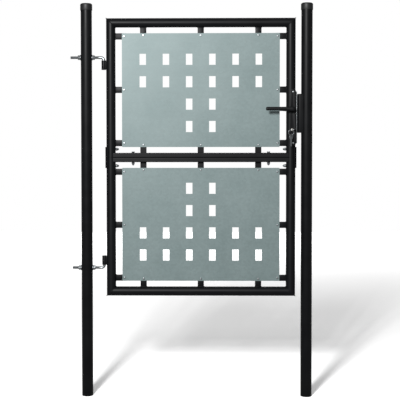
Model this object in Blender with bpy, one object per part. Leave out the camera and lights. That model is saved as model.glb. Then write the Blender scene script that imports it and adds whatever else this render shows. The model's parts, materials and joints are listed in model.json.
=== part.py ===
"""Garden gate: a two-part tubular steel leaf with sheet panels, hung between two round posts.

Frame: X to the right along the gate, Y to the back, Z up, in metres.
The origin lies at the posts' feet, midway between the posts.
"""
from math import asin, cos, pi, radians, sin, sqrt

import bmesh
import bpy
from mathutils import Matrix, Vector

# ---------------------------------------------------------------- driving dimensions
GAP = 0.0003                    # left between pieces that touch

POST_X = 0.475                  # post axes stand at -POST_X and +POST_X
POST_RADIUS = 0.02415           # 48.3 mm fence tube
POST_WALL = 0.002
GATE_HEIGHT = 1.700             # foot of the posts to the top of the caps
CAP_RADIUS = 0.02585
CAP_SKIRT = 0.030
CAP_WALL = 0.0014
CAP_TOP = 0.004                 # thickness at the crown
CAP_SHOULDER = 0.007
CAP_DOME = 0.0015               # height of the low dome above the shoulder
POST_TOP = GATE_HEIGHT - CAP_TOP - GAP

TUBE_RADIUS = 0.020             # 40 mm frame tube
TUBE_WALL = 0.0015
LEAF_LEFT = -0.3895
LEAF_WIDTH = 0.816
LEAF_BOTTOM = 0.436
LEAF_HEIGHT = 1.200
LEAF_RIGHT = LEAF_LEFT + LEAF_WIDTH
LEAF_TOP = LEAF_BOTTOM + LEAF_HEIGHT
LEAF_MID_X = (LEAF_LEFT + LEAF_RIGHT) / 2
LEAF_MID_Z = (LEAF_BOTTOM + LEAF_TOP) / 2
HINGE_STILE_X = LEAF_LEFT + TUBE_RADIUS
LOCK_STILE_X = LEAF_RIGHT - TUBE_RADIUS
TOP_RAIL_Z = LEAF_TOP - TUBE_RADIUS
BOTTOM_RAIL_Z = LEAF_BOTTOM + TUBE_RADIUS

MID_RAIL_DEPTH = 0.040          # 40 x 20 mm flat tube, front to back
MID_RAIL_HEIGHT = 0.020
MID_BOLT_X = 0.2925             # from the middle of the leaf
SPLICE_HEIGHT = 0.091
SPLICE_THICKNESS = 0.0047
SPLICE_HALF_ANGLE = radians(58)
SPLICE_BOLT_Z = 0.036           # from the joint between the two half frames
M8_RADIUS = 0.004

PANEL_WIDTH = 0.680
PANEL_HEIGHT = 0.490
PANEL_THICKNESS = 0.0015
PANEL_MARGIN = 0.025            # from the rails to the sheet
HOLE_WIDTH = 0.028
HOLE_HEIGHT = 0.048
HOLE_COLUMNS = (0.050, 0.150, 0.250)
FIRST_ROW = 0.112               # from the sheet's outer edge to the first row of holes
ROW_PITCH = 0.0965
TAB_WIDTH = 0.027
TAB_THICKNESS = 0.003
TAB_OVERLAP = 0.018
SCREW_INSET = 0.009             # from the sheet's edge to a screw
TAB_COLUMNS = (-0.248, 0.0, 0.248)
TAB_ROWS = (0.062, 0.292, 0.522)
M5_RADIUS = 0.0025

HINGE_AXIS_X = LEAF_LEFT - 0.0103
BARREL_RADIUS = 0.010
BARREL_HEIGHT = 0.040
ROD_RADIUS = 0.006              # M12
ROD_BEND = 0.012
BEND_STEPS = 6
UPPER_ROD_Z = 1.467
LOWER_ROD_Z = 0.558
UPPER_ROD_TAIL = 0.044          # how far each rod stands out beyond its post
LOWER_ROD_TAIL = 0.038
M12_NUT_FLATS = 0.019
M12_NUT_HEIGHT = 0.010
FLANGE_RADIUS = 0.012            # the nuts' own washer faces
FLANGE_THICKNESS = 0.002

LOCK_LEFT = LOCK_STILE_X - 0.005
LOCK_RIGHT = LOCK_STILE_X + 0.0215
LOCK_BOTTOM = 1.088
LOCK_TOP = 1.328
LOCK_WALL = 0.002
LOCK_CHAMFER = 0.005
PLATE_THICKNESS = 0.003
FOREND_FRONT = LOCK_STILE_X + 0.0248
CASE_LEFT = LOCK_STILE_X - 0.015
CASE_HALF_DEPTH = 0.008
CASE_WALL = 0.0012
CASE_BOTTOM = 1.110
CASE_TOP = 1.306
SPINDLE_X = LOCK_STILE_X + 0.005
SPINDLE_Z = 1.244
SPINDLE_SIDE = 0.008
SPINDLE_HALF = 0.045            # half its length, front to back
FOLLOWER_RADIUS = 0.009
FOLLOWER_HALF = 0.0062
FINGER_HALF = 0.0015
FINGER_TOP = 0.016
LEVER_REACH = 0.1165
LEVER_HUB_RADIUS = 0.0105
LEVER_ROOT_TOP = 0.0095         # these heights are from the spindle's axis
LEVER_TIP_TOP = 0.0088
LEVER_TIP_BOTTOM = -0.0078
LEVER_WAIST_BOTTOM = -0.0068
LEVER_TIP_CORNER = 0.0030
LEVER_WAIST_X = 0.055           # from the spindle to the narrowest place
LEVER_ROOT_X = 0.020
NECK_RADIUS = 0.008
LEVER_INNER_Y = 0.0465
LEVER_OUTER_Y = 0.0575
LATCH_Z = 1.278
LATCH_HEIGHT = 0.040
LATCH_HALF = 0.006              # half its thickness, front to back
LATCH_TIP_X = LOCK_STILE_X + 0.0339
LATCH_SLOPE = 0.008             # length of the sloping nose
DEADBOLT_Z = 1.181
DEADBOLT_HEIGHT = 0.024
DEADBOLT_TIP_X = FOREND_FRONT + 0.0099
DEADBOLT_LENGTH = 0.024
DEADBOLT_HALF = 0.005
CYLINDER_Z = 1.154
CYLINDER_HALF = 0.0253
CYLINDER_HEAD = 0.0085
CYLINDER_STEM = 0.005
CYLINDER_DROP = 0.0245
PLUG_RADIUS = 0.0063
CAM_RADIUS = 0.014
CAM_HUB_RADIUS = 0.0092
CAM_LOBE_HALF = 0.0035
CAM_HALF = 0.0047
CAM_SLOT_HALF = 0.0052
KEY_TILT = radians(24)          # how the key stands turned in the lock
KEY_BOW_RADIUS = 0.0125
KEY_HOLE_RADIUS = 0.005
KEY_HALF_THICKNESS = 0.0009
BLADE_HALF = 0.004
KEY_BOW_Y = -0.046
RING_RADIUS = 0.0119            # centre line of the wire
RING_WIRE = 0.0009
RING_DROP = 0.0065              # from the point that it hangs on to its centre
SPARE_TURN = radians(40)
SPARE_BOW_RADIUS = 0.0110
SPARE_HOLE_RADIUS = 0.0042
SPARE_TIP = 0.0455              # from the spare key's hole to its tip
SPARE_TAPER = 0.0025

KEEP_LEFT = LOCK_STILE_X + 0.0294
KEEP_THICKNESS = 0.003
KEEP_TIP_X = POST_X - 0.0165
KEEP_FRONT_Y = -0.0208
KEEP_BOTTOM = 1.142
KEEP_TOP = 1.309
STOP_LEFT = 0.4225
STOP_THICKNESS = 0.0025
KEEP_SCREW_OFFSET = 0.0052
KEEP_FLANGE = 0.0025
KEEP_CORNER = 0.004
BOLT_PLAY = 0.001               # around each bolt in the keep

CAP_NUT_FLATS = 0.013
CAP_NUT_LENGTH = 0.0145
M5_HEAD_RADIUS = 0.0046
M5_HEAD_HEIGHT = 0.0022
CUT_MARGIN = 0.010              # how far a cutter stands clear of what it cuts

PLATE_BOLT_X = LOCK_STILE_X + 0.008
PLATE_BOLTS = (LOCK_BOTTOM + 0.010, LOCK_TOP - 0.010)
FOREND_SCREWS = (LOCK_BOTTOM + 0.0155, LOCK_TOP - 0.0155)
FOREND_END = 0.009              # from the housing's ends to the forend's
CYLINDER_SCREW_Z = CYLINDER_Z - 0.020
MID_BOLTS = (LEAF_MID_X - MID_BOLT_X, LEAF_MID_X + MID_BOLT_X)
HANDLE_AXIS = Vector((SPINDLE_X, 0, SPINDLE_Z))
KEY_AXIS = Vector((SPINDLE_X, 0, CYLINDER_Z))
RING_ARM = (KEY_HOLE_RADIUS + KEY_BOW_RADIUS) / 2
RING_PIVOT = KEY_AXIS + Vector((-RING_ARM * cos(KEY_TILT), KEY_BOW_Y, -RING_ARM * sin(KEY_TILT)))

POST_SEGMENTS = 40
TUBE_SEGMENTS = 32
SMALL_SEGMENTS = 12
SCREW_SEGMENTS = 10
HEX_SEGMENTS = 12                # a multiple of six, so that the corners fall on vertices

X_AXIS = Matrix.Rotation(pi / 2, 4, "Y")      # turns a piece made along Z so that it runs along X
Y_AXIS = Matrix.Rotation(-pi / 2, 4, "X")     # the same, along Y


# ---------------------------------------------------------------- materials and objects
def material(name, colour, roughness, metallic):
    mat = bpy.data.materials.new(name)
    mat.use_nodes = True
    shader = mat.node_tree.nodes["Principled BSDF"]
    shader.inputs["Base Color"].default_value = (*colour, 1.0)
    shader.inputs["Roughness"].default_value = roughness
    shader.inputs["Metallic"].default_value = metallic
    return mat


def clear_scene():
    for obj in list(bpy.data.objects):
        bpy.data.objects.remove(obj, do_unlink=True)


clear_scene()
POWDER_COAT = material("black_powder_coat", (0.022, 0.024, 0.027), 0.35, 0.0)
GALVANISED = material("galvanised_sheet", (0.33, 0.38, 0.37), 0.5, 0.6)
ZINC = material("zinc_plated_steel", (0.55, 0.56, 0.56), 0.35, 1.0)
BLACK_PLASTIC = material("black_plastic", (0.02, 0.02, 0.022), 0.45, 0.0)
BLACKED_STEEL = material("blacked_steel", (0.045, 0.045, 0.048), 0.4, 0.6)
BRASS = material("nickelled_brass", (0.5, 0.48, 0.42), 0.3, 1.0)


def piece(name, mesh_data, mat, origin=(0, 0, 0)):
    """Turn a bmesh in world coordinates into an object whose origin is at the given point."""
    bmesh.ops.recalc_face_normals(mesh_data, faces=mesh_data.faces)
    bmesh.ops.translate(mesh_data, verts=mesh_data.verts, vec=-Vector(origin))
    mesh = bpy.data.meshes.new(name)
    mesh_data.to_mesh(mesh)
    mesh_data.free()
    mesh.materials.append(mat)
    mesh.shade_smooth()
    mesh.set_sharp_from_angle(angle=radians(32))
    obj = bpy.data.objects.new(name, mesh)
    obj.location = origin
    bpy.context.collection.objects.link(obj)
    return obj


def cutter(name, mesh_data):
    obj = piece(name, mesh_data, BLACKED_STEEL)
    obj.hide_render = True
    obj.display_type = "WIRE"
    return obj


def boolean(target, tool, operation="DIFFERENCE"):
    modifier = target.modifiers.new(operation.title() + "_" + tool.name, "BOOLEAN")
    modifier.operation = operation
    modifier.solver = "EXACT"
    modifier.object = tool


# ---------------------------------------------------------------- shapes, added to a bmesh
def add_box(bm, low, high):
    size = Vector(high) - Vector(low)
    centre = (Vector(high) + Vector(low)) / 2
    place = Matrix.Translation(centre) @ Matrix.Diagonal((*size, 1.0))
    bmesh.ops.create_cube(bm, size=1.0, matrix=place)


def add_prism(bm, outline, low, high, place=None):
    """Extrude a closed outline of (x, y) points from z = low to z = high."""
    place = place or Matrix.Identity(4)
    bottom = [bm.verts.new(place @ Vector((x, y, low))) for x, y in outline]
    top = [bm.verts.new(place @ Vector((x, y, high))) for x, y in outline]
    bm.faces.new(bottom)
    bm.faces.new(reversed(top))
    for i in range(len(outline)):
        j = (i + 1) % len(outline)
        bm.faces.new((bottom[i], bottom[j], top[j], top[i]))


def hexagon_factor(angle):
    """Distance to a hexagon's side in that direction, over its distance across the flats / 2."""
    turn = (angle + pi / 6) % (pi / 3) - pi / 6
    return 1.0 / cos(turn)


def add_turned(bm, profile, place, segments, ring=False):
    """Turn a profile of (radius, height) points about Z; a third item "hex" makes that ring six-sided.

    With ring set, the last point joins the first one, which leaves a hole along the axis.
    """
    rings = []
    for point in profile:
        radius, height = point[0], point[1]
        if radius == 0:
            rings.append([bm.verts.new(place @ Vector((0, 0, height)))])
            continue
        verts = []
        for k in range(segments):
            angle = 2 * pi * k / segments
            reach = radius * hexagon_factor(angle) if len(point) > 2 else radius
            verts.append(bm.verts.new(place @ Vector((reach * cos(angle), reach * sin(angle), height))))
        rings.append(verts)
    pairs = list(zip(rings, rings[1:]))
    if ring:
        pairs.append((rings[-1], rings[0]))
    for lower, upper in pairs:
        for k in range(segments):
            n = (k + 1) % segments
            if len(lower) == 1:
                bm.faces.new((lower[0], upper[k], upper[n]))
            elif len(upper) == 1:
                bm.faces.new((lower[k], lower[n], upper[0]))
            else:
                bm.faces.new((lower[k], lower[n], upper[n], upper[k]))


def add_cylinder(bm, radius, low, high, place, segments=SMALL_SEGMENTS):
    add_turned(bm, [(0, low), (radius, low), (radius, high), (0, high)], place, segments)


def add_swept(bm, points, radius, segments, closed=False):
    """Sweep a circle along a list of points; the route lies in one plane parallel to X and Z."""
    rings = []
    count = len(points)
    for i, point in enumerate(points):
        before = points[(i - 1) % count] if closed or i > 0 else point
        after = points[(i + 1) % count] if closed or i < count - 1 else point
        along = (after - before).normalized()
        side = Vector((0, 1, 0))
        normal = along.cross(side)
        verts = []
        for k in range(segments):
            angle = 2 * pi * k / segments
            verts.append(bm.verts.new(point + radius * (cos(angle) * side + sin(angle) * normal)))
        rings.append(verts)
    pairs = list(zip(rings, rings[1:]))
    if closed:
        pairs.append((rings[-1], rings[0]))
    for first, second in pairs:
        for k in range(segments):
            n = (k + 1) % segments
            bm.faces.new((first[k], first[n], second[n], second[k]))
    if not closed:
        bm.faces.new(rings[0])
        bm.faces.new(reversed(rings[-1]))


def add_tube(bm, start, end, radius, wall, segments, mitre_start=0.0, mitre_end=0.0):
    """A round tube in the XZ plane. A mitre of 1 or -1 slants that end at 45 degrees."""
    along = (end - start).normalized()
    side = Vector((0, 1, 0))
    across = along.cross(side)
    rings = []
    for centre, mitre in ((start, mitre_start), (end, mitre_end)):
        for r in (radius, radius - wall):
            verts = []
            for k in range(segments):
                angle = 2 * pi * k / segments
                offset = r * (cos(angle) * side + sin(angle) * across)
                verts.append(bm.verts.new(centre + offset + along * (mitre * r * sin(angle))))
            rings.append(verts)
    outer_start, inner_start, outer_end, inner_end = rings
    walls = ((outer_start, outer_end), (outer_end, inner_end), (inner_end, inner_start),
             (inner_start, outer_start))
    for first, second in walls:
        for k in range(segments):
            n = (k + 1) % segments
            bm.faces.new((first[k], first[n], second[n], second[k]))


def arc(centre, radius, start, end, steps):
    """Points on an arc of a flat outline, from one angle to another in radians."""
    span = end - start
    angles = [start + span * k / steps for k in range(steps + 1)]
    return [(centre[0] + radius * cos(a), centre[1] + radius * sin(a)) for a in angles]


def rounded_rectangle(low, high, radius, steps=4):
    corners = (((high[0] - radius, high[1] - radius), 0), ((low[0] + radius, high[1] - radius), 1),
               ((low[0] + radius, low[1] + radius), 2), ((high[0] - radius, low[1] + radius), 3))
    outline = []
    for centre, quarter in corners:
        outline += arc(centre, radius, quarter * pi / 2, (quarter + 1) * pi / 2, steps)
    return outline


# Outlines drawn as (x, z) are laid in the gate's plane: extruding them runs along Y.
IN_GATE_PLANE = Matrix(((1, 0, 0, 0), (0, 0, 1, 0), (0, 1, 0, 0), (0, 0, 0, 1)))


# ---------------------------------------------------------------- posts and caps
def rod_holes():
    """Clearance holes for the two hinge rods, along X through the left post."""
    bm = bmesh.new()
    for z in (UPPER_ROD_Z, LOWER_ROD_Z):
        place = Matrix.Translation((-POST_X, 0, z)) @ X_AXIS
        add_cylinder(bm, ROD_RADIUS + GAP, -0.040, 0.040, place)
    return cutter("cut_rod_holes", bm)


def keep_screw_holes():
    bm = bmesh.new()
    for z in (KEEP_BOTTOM + KEEP_SCREW_OFFSET, KEEP_TOP - KEEP_SCREW_OFFSET):
        place = Matrix.Translation((KEEP_LEFT, 0, z)) @ X_AXIS
        add_cylinder(bm, M5_RADIUS + GAP, -0.010, 0.025, place)
    return cutter("cut_keep_screw_holes", bm)


def build_posts():
    for side, name in ((-1, "left"), (1, "right")):
        bm = bmesh.new()
        add_tube(bm, Vector((side * POST_X, 0, 0)), Vector((side * POST_X, 0, POST_TOP)),
                 POST_RADIUS, POST_WALL, POST_SEGMENTS)
        post = piece(name + "_post", bm, POWDER_COAT)
        boolean(post, rod_holes() if side < 0 else KEEP_SCREW_HOLES)

        low = GATE_HEIGHT - CAP_SKIRT
        inner = CAP_RADIUS - CAP_WALL
        shoulder = (CAP_RADIUS - CAP_SHOULDER, GATE_HEIGHT - CAP_SHOULDER - CAP_DOME)
        crown = arc(shoulder, CAP_SHOULDER, 0, 0.44 * pi, 3)
        profile = [(0, POST_TOP + GAP), (inner, POST_TOP + GAP), (inner, low), (CAP_RADIUS - 0.0005, low),
                   (CAP_RADIUS, low + 0.001)] + crown + [(0.012, GATE_HEIGHT - 0.0005), (0, GATE_HEIGHT)]
        bm = bmesh.new()
        add_turned(bm, profile, Matrix.Translation((side * POST_X, 0, 0)), POST_SEGMENTS)
        piece(name + "_cap", bm, BLACK_PLASTIC)


# ---------------------------------------------------------------- hinges
def build_hinges():
    rods = (("upper", UPPER_ROD_Z, UPPER_ROD_TAIL, -1), ("lower", LOWER_ROD_Z, LOWER_ROD_TAIL, 1))
    for name, rod_z, tail, turn in rods:
        # The rod runs level through the post and bends up or down into the leaf's barrel.
        start = Vector((-POST_X - POST_RADIUS - tail, 0, rod_z))
        barrel_near = rod_z + turn * (ROD_BEND + 0.0005)
        barrel_far = barrel_near + turn * BARREL_HEIGHT
        route = [start, start + Vector((0.001, 0, 0))]
        for k in range(BEND_STEPS + 1):
            angle = pi / 2 * k / BEND_STEPS
            route.append(Vector((HINGE_AXIS_X - ROD_BEND + ROD_BEND * sin(angle), 0,
                                 rod_z + turn * ROD_BEND * (1 - cos(angle)))))
        route.append(Vector((HINGE_AXIS_X, 0, barrel_far - turn * 0.001)))
        bm = bmesh.new()
        add_swept(bm, route, ROD_RADIUS, 16)
        piece(name + "_hinge_hook", bm, ZINC)

        for side in (-1, 1):
            face = -POST_X + side * (POST_RADIUS + GAP)
            place = Matrix.Translation((face, 0, rod_z)) @ Matrix.Rotation(side * pi / 2, 4, "Y")
            hole = ROD_RADIUS + GAP
            low = FLANGE_THICKNESS
            high = low + M12_NUT_HEIGHT
            flat = M12_NUT_FLATS / 2
            nut = [(hole, 0), (FLANGE_RADIUS, 0), (FLANGE_RADIUS, low), (flat, low, "hex"),
                   (flat, high - 0.001, "hex"), (flat, high), (hole, high)]
            bm = bmesh.new()
            add_turned(bm, nut, place, HEX_SEGMENTS, ring=True)
            piece(name + "_hinge_nut_" + ("outer" if side < 0 else "inner"), bm, ZINC)

        # The barrel is welded to the hinge stile by a short web that hugs the tube.
        low_z, high_z = sorted((barrel_near, barrel_far))
        origin = (HINGE_AXIS_X, 0, (low_z + high_z) / 2)
        bm = bmesh.new()
        add_cylinder(bm, BARREL_RADIUS, low_z, high_z, Matrix.Translation((HINGE_AXIS_X, 0, 0)), 24)
        barrel = piece(name + "_barrel", bm, POWDER_COAT, origin)
        bm = bmesh.new()
        add_box(bm, (HINGE_AXIS_X, -0.0065, low_z + 0.003), (HINGE_STILE_X - 0.012, 0.0065, high_z - 0.003))
        boolean(barrel, cutter("weld_" + name, bm), "UNION")
        bm = bmesh.new()
        add_cylinder(bm, ROD_RADIUS + 2 * GAP, low_z - 0.005, high_z + 0.005,
                     Matrix.Translation((HINGE_AXIS_X, 0, 0)), 20)
        add_cylinder(bm, TUBE_RADIUS + GAP, low_z - 0.005, high_z + 0.005,
                     Matrix.Translation((HINGE_STILE_X, 0, 0)), 40)
        boolean(barrel, cutter("cut_barrel_" + name, bm))


# ---------------------------------------------------------------- leaf frame
def splice_bolt_holes():
    """Holes along X through the stiles for the studs that join the two half frames."""
    bm = bmesh.new()
    for stile_x in (HINGE_STILE_X, LOCK_STILE_X):
        for z in (LEAF_MID_Z - SPLICE_BOLT_Z, LEAF_MID_Z + SPLICE_BOLT_Z):
            place = Matrix.Translation((stile_x, 0, z)) @ X_AXIS
            add_cylinder(bm, M8_RADIUS + GAP, -0.030, 0.030, place)
    return cutter("cut_splice_holes", bm)


def lock_notch():
    """The lock stile is cut away in front of, behind and beside the welded lock housing."""
    bm = bmesh.new()
    add_box(bm, (LOCK_LEFT - GAP, -0.030, LOCK_BOTTOM - GAP), (LOCK_RIGHT + 0.020, 0.030, LOCK_TOP + GAP))
    return cutter("cut_lock_notch", bm)


def tab_places(half):
    """(screw x, screw z, step x, step z) for each tab; the step points from the sheet to its tube."""
    places = []
    for offset in TAB_ROWS:
        z = LEAF_MID_Z + half * offset
        places.append((LEAF_MID_X - PANEL_WIDTH / 2 + SCREW_INSET, z, -1, 0))
        places.append((LEAF_MID_X + PANEL_WIDTH / 2 - SCREW_INSET, z, 1, 0))
    middle = LEAF_MID_Z + half * (MID_RAIL_HEIGHT + PANEL_MARGIN + PANEL_HEIGHT / 2)
    for offset in TAB_COLUMNS:
        for step in (-1, 1):
            z = middle + step * (PANEL_HEIGHT / 2 - SCREW_INSET)
            places.append((LEAF_MID_X + offset, z, 0, step))
    return places


def weld_tabs(tube, half, step_x, step_z):
    """Weld onto a tube the strips that hold the sheet on that side."""
    tabs = bmesh.new()
    for x, z, to_x, to_z in tab_places(half):
        if (to_x, to_z) != (step_x, step_z):
            continue
        side_gap = (LEAF_WIDTH - PANEL_WIDTH) / 2 - 2 * TUBE_RADIUS
        reach = SCREW_INSET + (side_gap if step_x else PANEL_MARGIN) + TUBE_WALL / 2
        step = Vector((step_x, 0, step_z))
        near = Vector((x, 0, z)) - (TAB_OVERLAP - SCREW_INSET) * step
        far = Vector((x, 0, z)) + reach * step
        across = TAB_WIDTH / 2 * Vector((abs(step_z), 0, abs(step_x))) + Vector((0, TAB_THICKNESS / 2, 0))
        low = Vector((min(near.x, far.x), 0, min(near.z, far.z))) - across
        high = Vector((max(near.x, far.x), 0, max(near.z, far.z))) + across
        add_box(tabs, low, high)
    boolean(tube, cutter("tabs_" + tube.name, tabs), "UNION")
    boolean(tube, SHEET_SCREW_HOLES[half])


def sheet_screw_holes(half):
    bm = bmesh.new()
    for x, z, step_x, step_z in tab_places(half):
        place = Matrix.Translation((x, 0, z)) @ Y_AXIS
        add_cylinder(bm, M5_RADIUS + GAP, -CUT_MARGIN, CUT_MARGIN, place, SCREW_SEGMENTS)
    return cutter("cut_sheet_screws", bm)


def build_frame():
    joint = LEAF_MID_Z
    for x, inward, name in ((HINGE_STILE_X, 1, "hinge_stile"), (LOCK_STILE_X, -1, "lock_stile")):
        spans = (("upper", joint + GAP, TOP_RAIL_Z - GAP, 0, inward),
                 ("lower", BOTTOM_RAIL_Z + GAP, joint - GAP, -inward, 0))
        for half, low, high, mitre_low, mitre_high in spans:
            bm = bmesh.new()
            add_tube(bm, Vector((x, 0, low)), Vector((x, 0, high)), TUBE_RADIUS, TUBE_WALL, TUBE_SEGMENTS,
                     mitre_low, mitre_high)
            stile = piece(name + "_" + half, bm, POWDER_COAT)
            boolean(stile, SPLICE_HOLES)
            if name == "lock_stile" and half == "upper":
                boolean(stile, lock_notch())
            weld_tabs(stile, 1 if half == "upper" else -1, -inward, 0)
    for z, inward, name in ((TOP_RAIL_Z, -1, "top_rail"), (BOTTOM_RAIL_Z, 1, "bottom_rail")):
        bm = bmesh.new()
        add_tube(bm, Vector((HINGE_STILE_X + GAP, 0, z)), Vector((LOCK_STILE_X - GAP, 0, z)),
                 TUBE_RADIUS, TUBE_WALL, TUBE_SEGMENTS, inward, -inward)
        weld_tabs(piece(name, bm, POWDER_COAT), -inward, 0, -inward)

    cope = bmesh.new()
    for x in (HINGE_STILE_X, LOCK_STILE_X):
        place = Matrix.Translation((x, 0, 0))
        add_cylinder(cope, TUBE_RADIUS + 2 * GAP, joint - 0.031, joint + 0.033, place, 40)
    cope = cutter("cut_cope", cope)
    bolt_holes = bmesh.new()
    for x in MID_BOLTS:
        add_cylinder(bolt_holes, M8_RADIUS + GAP, joint - 0.03, joint + 0.03, Matrix.Translation((x, 0, 0)))
    bolt_holes = cutter("cut_mid_bolt_holes", bolt_holes)
    for side, name in ((1, "mid_rail_upper"), (-1, "mid_rail_lower")):
        low, high = sorted((joint + side * GAP / 2, joint + side * MID_RAIL_HEIGHT))
        bm = bmesh.new()
        outer = rounded_rectangle((-MID_RAIL_DEPTH / 2, low), (MID_RAIL_DEPTH / 2, high), 0.003)
        wall = TUBE_WALL
        inner = rounded_rectangle((-MID_RAIL_DEPTH / 2 + wall, low + wall),
                                  (MID_RAIL_DEPTH / 2 - wall, high - wall), 0.0015)
        rings = []
        for x in (HINGE_STILE_X + 0.010, LOCK_STILE_X - 0.010):
            rings.append([bm.verts.new((x, y, z)) for y, z in outer])
            rings.append([bm.verts.new((x, y, z)) for y, z in inner])
        for a, b in ((0, 2), (2, 3), (3, 1), (1, 0)):
            for k in range(len(outer)):
                n = (k + 1) % len(outer)
                bm.faces.new((rings[a][k], rings[a][n], rings[b][n], rings[b][k]))
        rail = piece(name, bm, POWDER_COAT)
        weld_tabs(rail, side, 0, -side)
        boolean(rail, cope)
        boolean(rail, bolt_holes)


def cap_nut(flats, height, bore):
    """Profile of a domed cap nut that opens at height 0."""
    flat = flats / 2
    collar = height * 0.45
    dome = arc((0, collar), flat * 0.88, 0, pi / 2, 3)
    points = [(0, height - 0.0035), (bore, height - 0.0035), (bore, 0), (flat * 0.94, 0),
              (flat, 0.0008, "hex"), (flat, collar - 0.0006, "hex"),
              (flat * 0.95, collar)]
    points += [(r, collar + (z - collar) * (height - collar) / (flat * 0.88)) for r, z in dome[:-1]]
    return points + [(0, height)]


def build_splices():
    """Curved plates outside both stiles, with welded studs and cap nuts inside the frame."""
    for x, outward, name in ((HINGE_STILE_X, -1, "hinge"), (LOCK_STILE_X, 1, "lock")):
        middle = 0 if outward > 0 else pi
        inner = TUBE_RADIUS + GAP
        outline = arc((x, 0), inner + SPLICE_THICKNESS, middle - SPLICE_HALF_ANGLE,
                      middle + SPLICE_HALF_ANGLE, 8)
        outline += arc((x, 0), inner, middle + SPLICE_HALF_ANGLE, middle - SPLICE_HALF_ANGLE, 8)
        bm = bmesh.new()
        add_prism(bm, outline, LEAF_MID_Z - SPLICE_HEIGHT / 2, LEAF_MID_Z + SPLICE_HEIGHT / 2)
        plate = piece(name + "_side_splice", bm, POWDER_COAT)
        studs = bmesh.new()
        inside = x - outward * (TUBE_RADIUS + GAP)
        for z, level in ((LEAF_MID_Z - SPLICE_BOLT_Z, "lower"), (LEAF_MID_Z + SPLICE_BOLT_Z, "upper")):
            turned = Matrix.Rotation(-outward * pi / 2, 4, "Y")
            root = Matrix.Translation((x + outward * (TUBE_RADIUS + 0.002), 0, z)) @ turned
            add_cylinder(studs, M8_RADIUS, 0, 2 * TUBE_RADIUS + 0.009, root)
            bm = bmesh.new()
            add_turned(bm, cap_nut(CAP_NUT_FLATS, CAP_NUT_LENGTH, M8_RADIUS + GAP),
                       Matrix.Translation((inside, 0, z)) @ turned, HEX_SEGMENTS)
            piece(name + "_splice_nut_" + level, bm, ZINC)
        boolean(plate, cutter("studs_" + name, studs), "UNION")
    top = LEAF_MID_Z + MID_RAIL_HEIGHT + GAP
    bottom = LEAF_MID_Z - MID_RAIL_HEIGHT - GAP
    for x, side in zip(MID_BOLTS, ("left", "right")):
        place = Matrix.Translation((x, 0, 0))
        bm = bmesh.new()
        flat = CAP_NUT_FLATS / 2
        tip = bottom - 0.009
        head_top = top + 0.0055
        add_turned(bm, [(0, tip), (M8_RADIUS, tip), (M8_RADIUS, top), (flat - 0.0010, top),
                        (flat, top + 0.0008, "hex"), (flat, head_top - 0.0007, "hex"),
                        (flat - 0.0007, head_top), (0, head_top)], place, HEX_SEGMENTS)
        piece("mid_rail_bolt_" + side, bm, ZINC)
        bm = bmesh.new()
        add_turned(bm, cap_nut(CAP_NUT_FLATS, CAP_NUT_LENGTH, M8_RADIUS + GAP),
                   Matrix.Translation((x, 0, bottom)) @ Matrix.Rotation(pi, 4, "X"), HEX_SEGMENTS)
        piece("mid_rail_nut_" + side, bm, ZINC)


# ---------------------------------------------------------------- sheets
def build_panels():
    sheet_back = -TAB_THICKNESS / 2 - GAP
    sheet_front = sheet_back - PANEL_THICKNESS
    for half, name in ((1, "upper"), (-1, "lower")):
        middle = LEAF_MID_Z + half * (MID_RAIL_HEIGHT + PANEL_MARGIN + PANEL_HEIGHT / 2)
        bm = bmesh.new()
        outline = rounded_rectangle((LEAF_MID_X - PANEL_WIDTH / 2, middle - PANEL_HEIGHT / 2),
                                    (LEAF_MID_X + PANEL_WIDTH / 2, middle + PANEL_HEIGHT / 2), 0.003, 3)
        add_prism(bm, outline, sheet_front, sheet_back, IN_GATE_PLANE)
        panel = piece(name + "_panel", bm, GALVANISED)

        holes = bmesh.new()
        for row in range(4):
            z = middle + half * (PANEL_HEIGHT / 2 - FIRST_ROW - row * ROW_PITCH)
            columns = HOLE_COLUMNS if row < 2 else HOLE_COLUMNS[:1]
            for offset in columns:
                for x in (LEAF_MID_X - offset, LEAF_MID_X + offset):
                    add_box(holes, (x - HOLE_WIDTH / 2, -0.010, z - HOLE_HEIGHT / 2),
                            (x + HOLE_WIDTH / 2, 0.010, z + HOLE_HEIGHT / 2))
        boolean(panel, cutter("cut_holes_" + name, holes))

        boolean(panel, SHEET_SCREW_HOLES[half])


# ---------------------------------------------------------------- lock
def cylinder_outline(growth=0.0):
    """Keyhole-shaped outline of the lock cylinder, as (x, z)."""
    head = CYLINDER_HEAD + growth
    stem = CYLINDER_STEM + growth
    corner = asin(stem / head)
    outline = arc((SPINDLE_X, CYLINDER_Z), head, -pi / 2 + corner, 3 * pi / 2 - corner, 18)
    outline += arc((SPINDLE_X, CYLINDER_Z - CYLINDER_DROP + CYLINDER_STEM), stem, pi, 2 * pi, 6)
    return outline


def housing_outline(inset=0.0):
    """The lock housing seen from the front: its two right-hand corners are cut off."""
    left = LOCK_LEFT - (0.010 if inset else 0)
    right = LOCK_RIGHT + (0.010 if inset else 0)
    low = LOCK_BOTTOM + inset
    high = LOCK_TOP - inset
    if inset:
        return [(left, low), (right, low), (right, high), (left, high)]
    cut = LOCK_CHAMFER
    return [(left, low), (right - cut, low), (right, low + 2 * cut), (right, high - 2 * cut),
            (right - cut, high), (left, high)]


def add_bolt_openings(bm, left, right, play):
    """The two slots that the latch and the deadbolt slide through."""
    for z, height, half in ((LATCH_Z, LATCH_HEIGHT, LATCH_HALF),
                            (DEADBOLT_Z, DEADBOLT_HEIGHT, DEADBOLT_HALF)):
        reach = height / 2 + play
        add_box(bm, (left, -half - play, z - reach), (right, half + play, z + reach))


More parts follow.
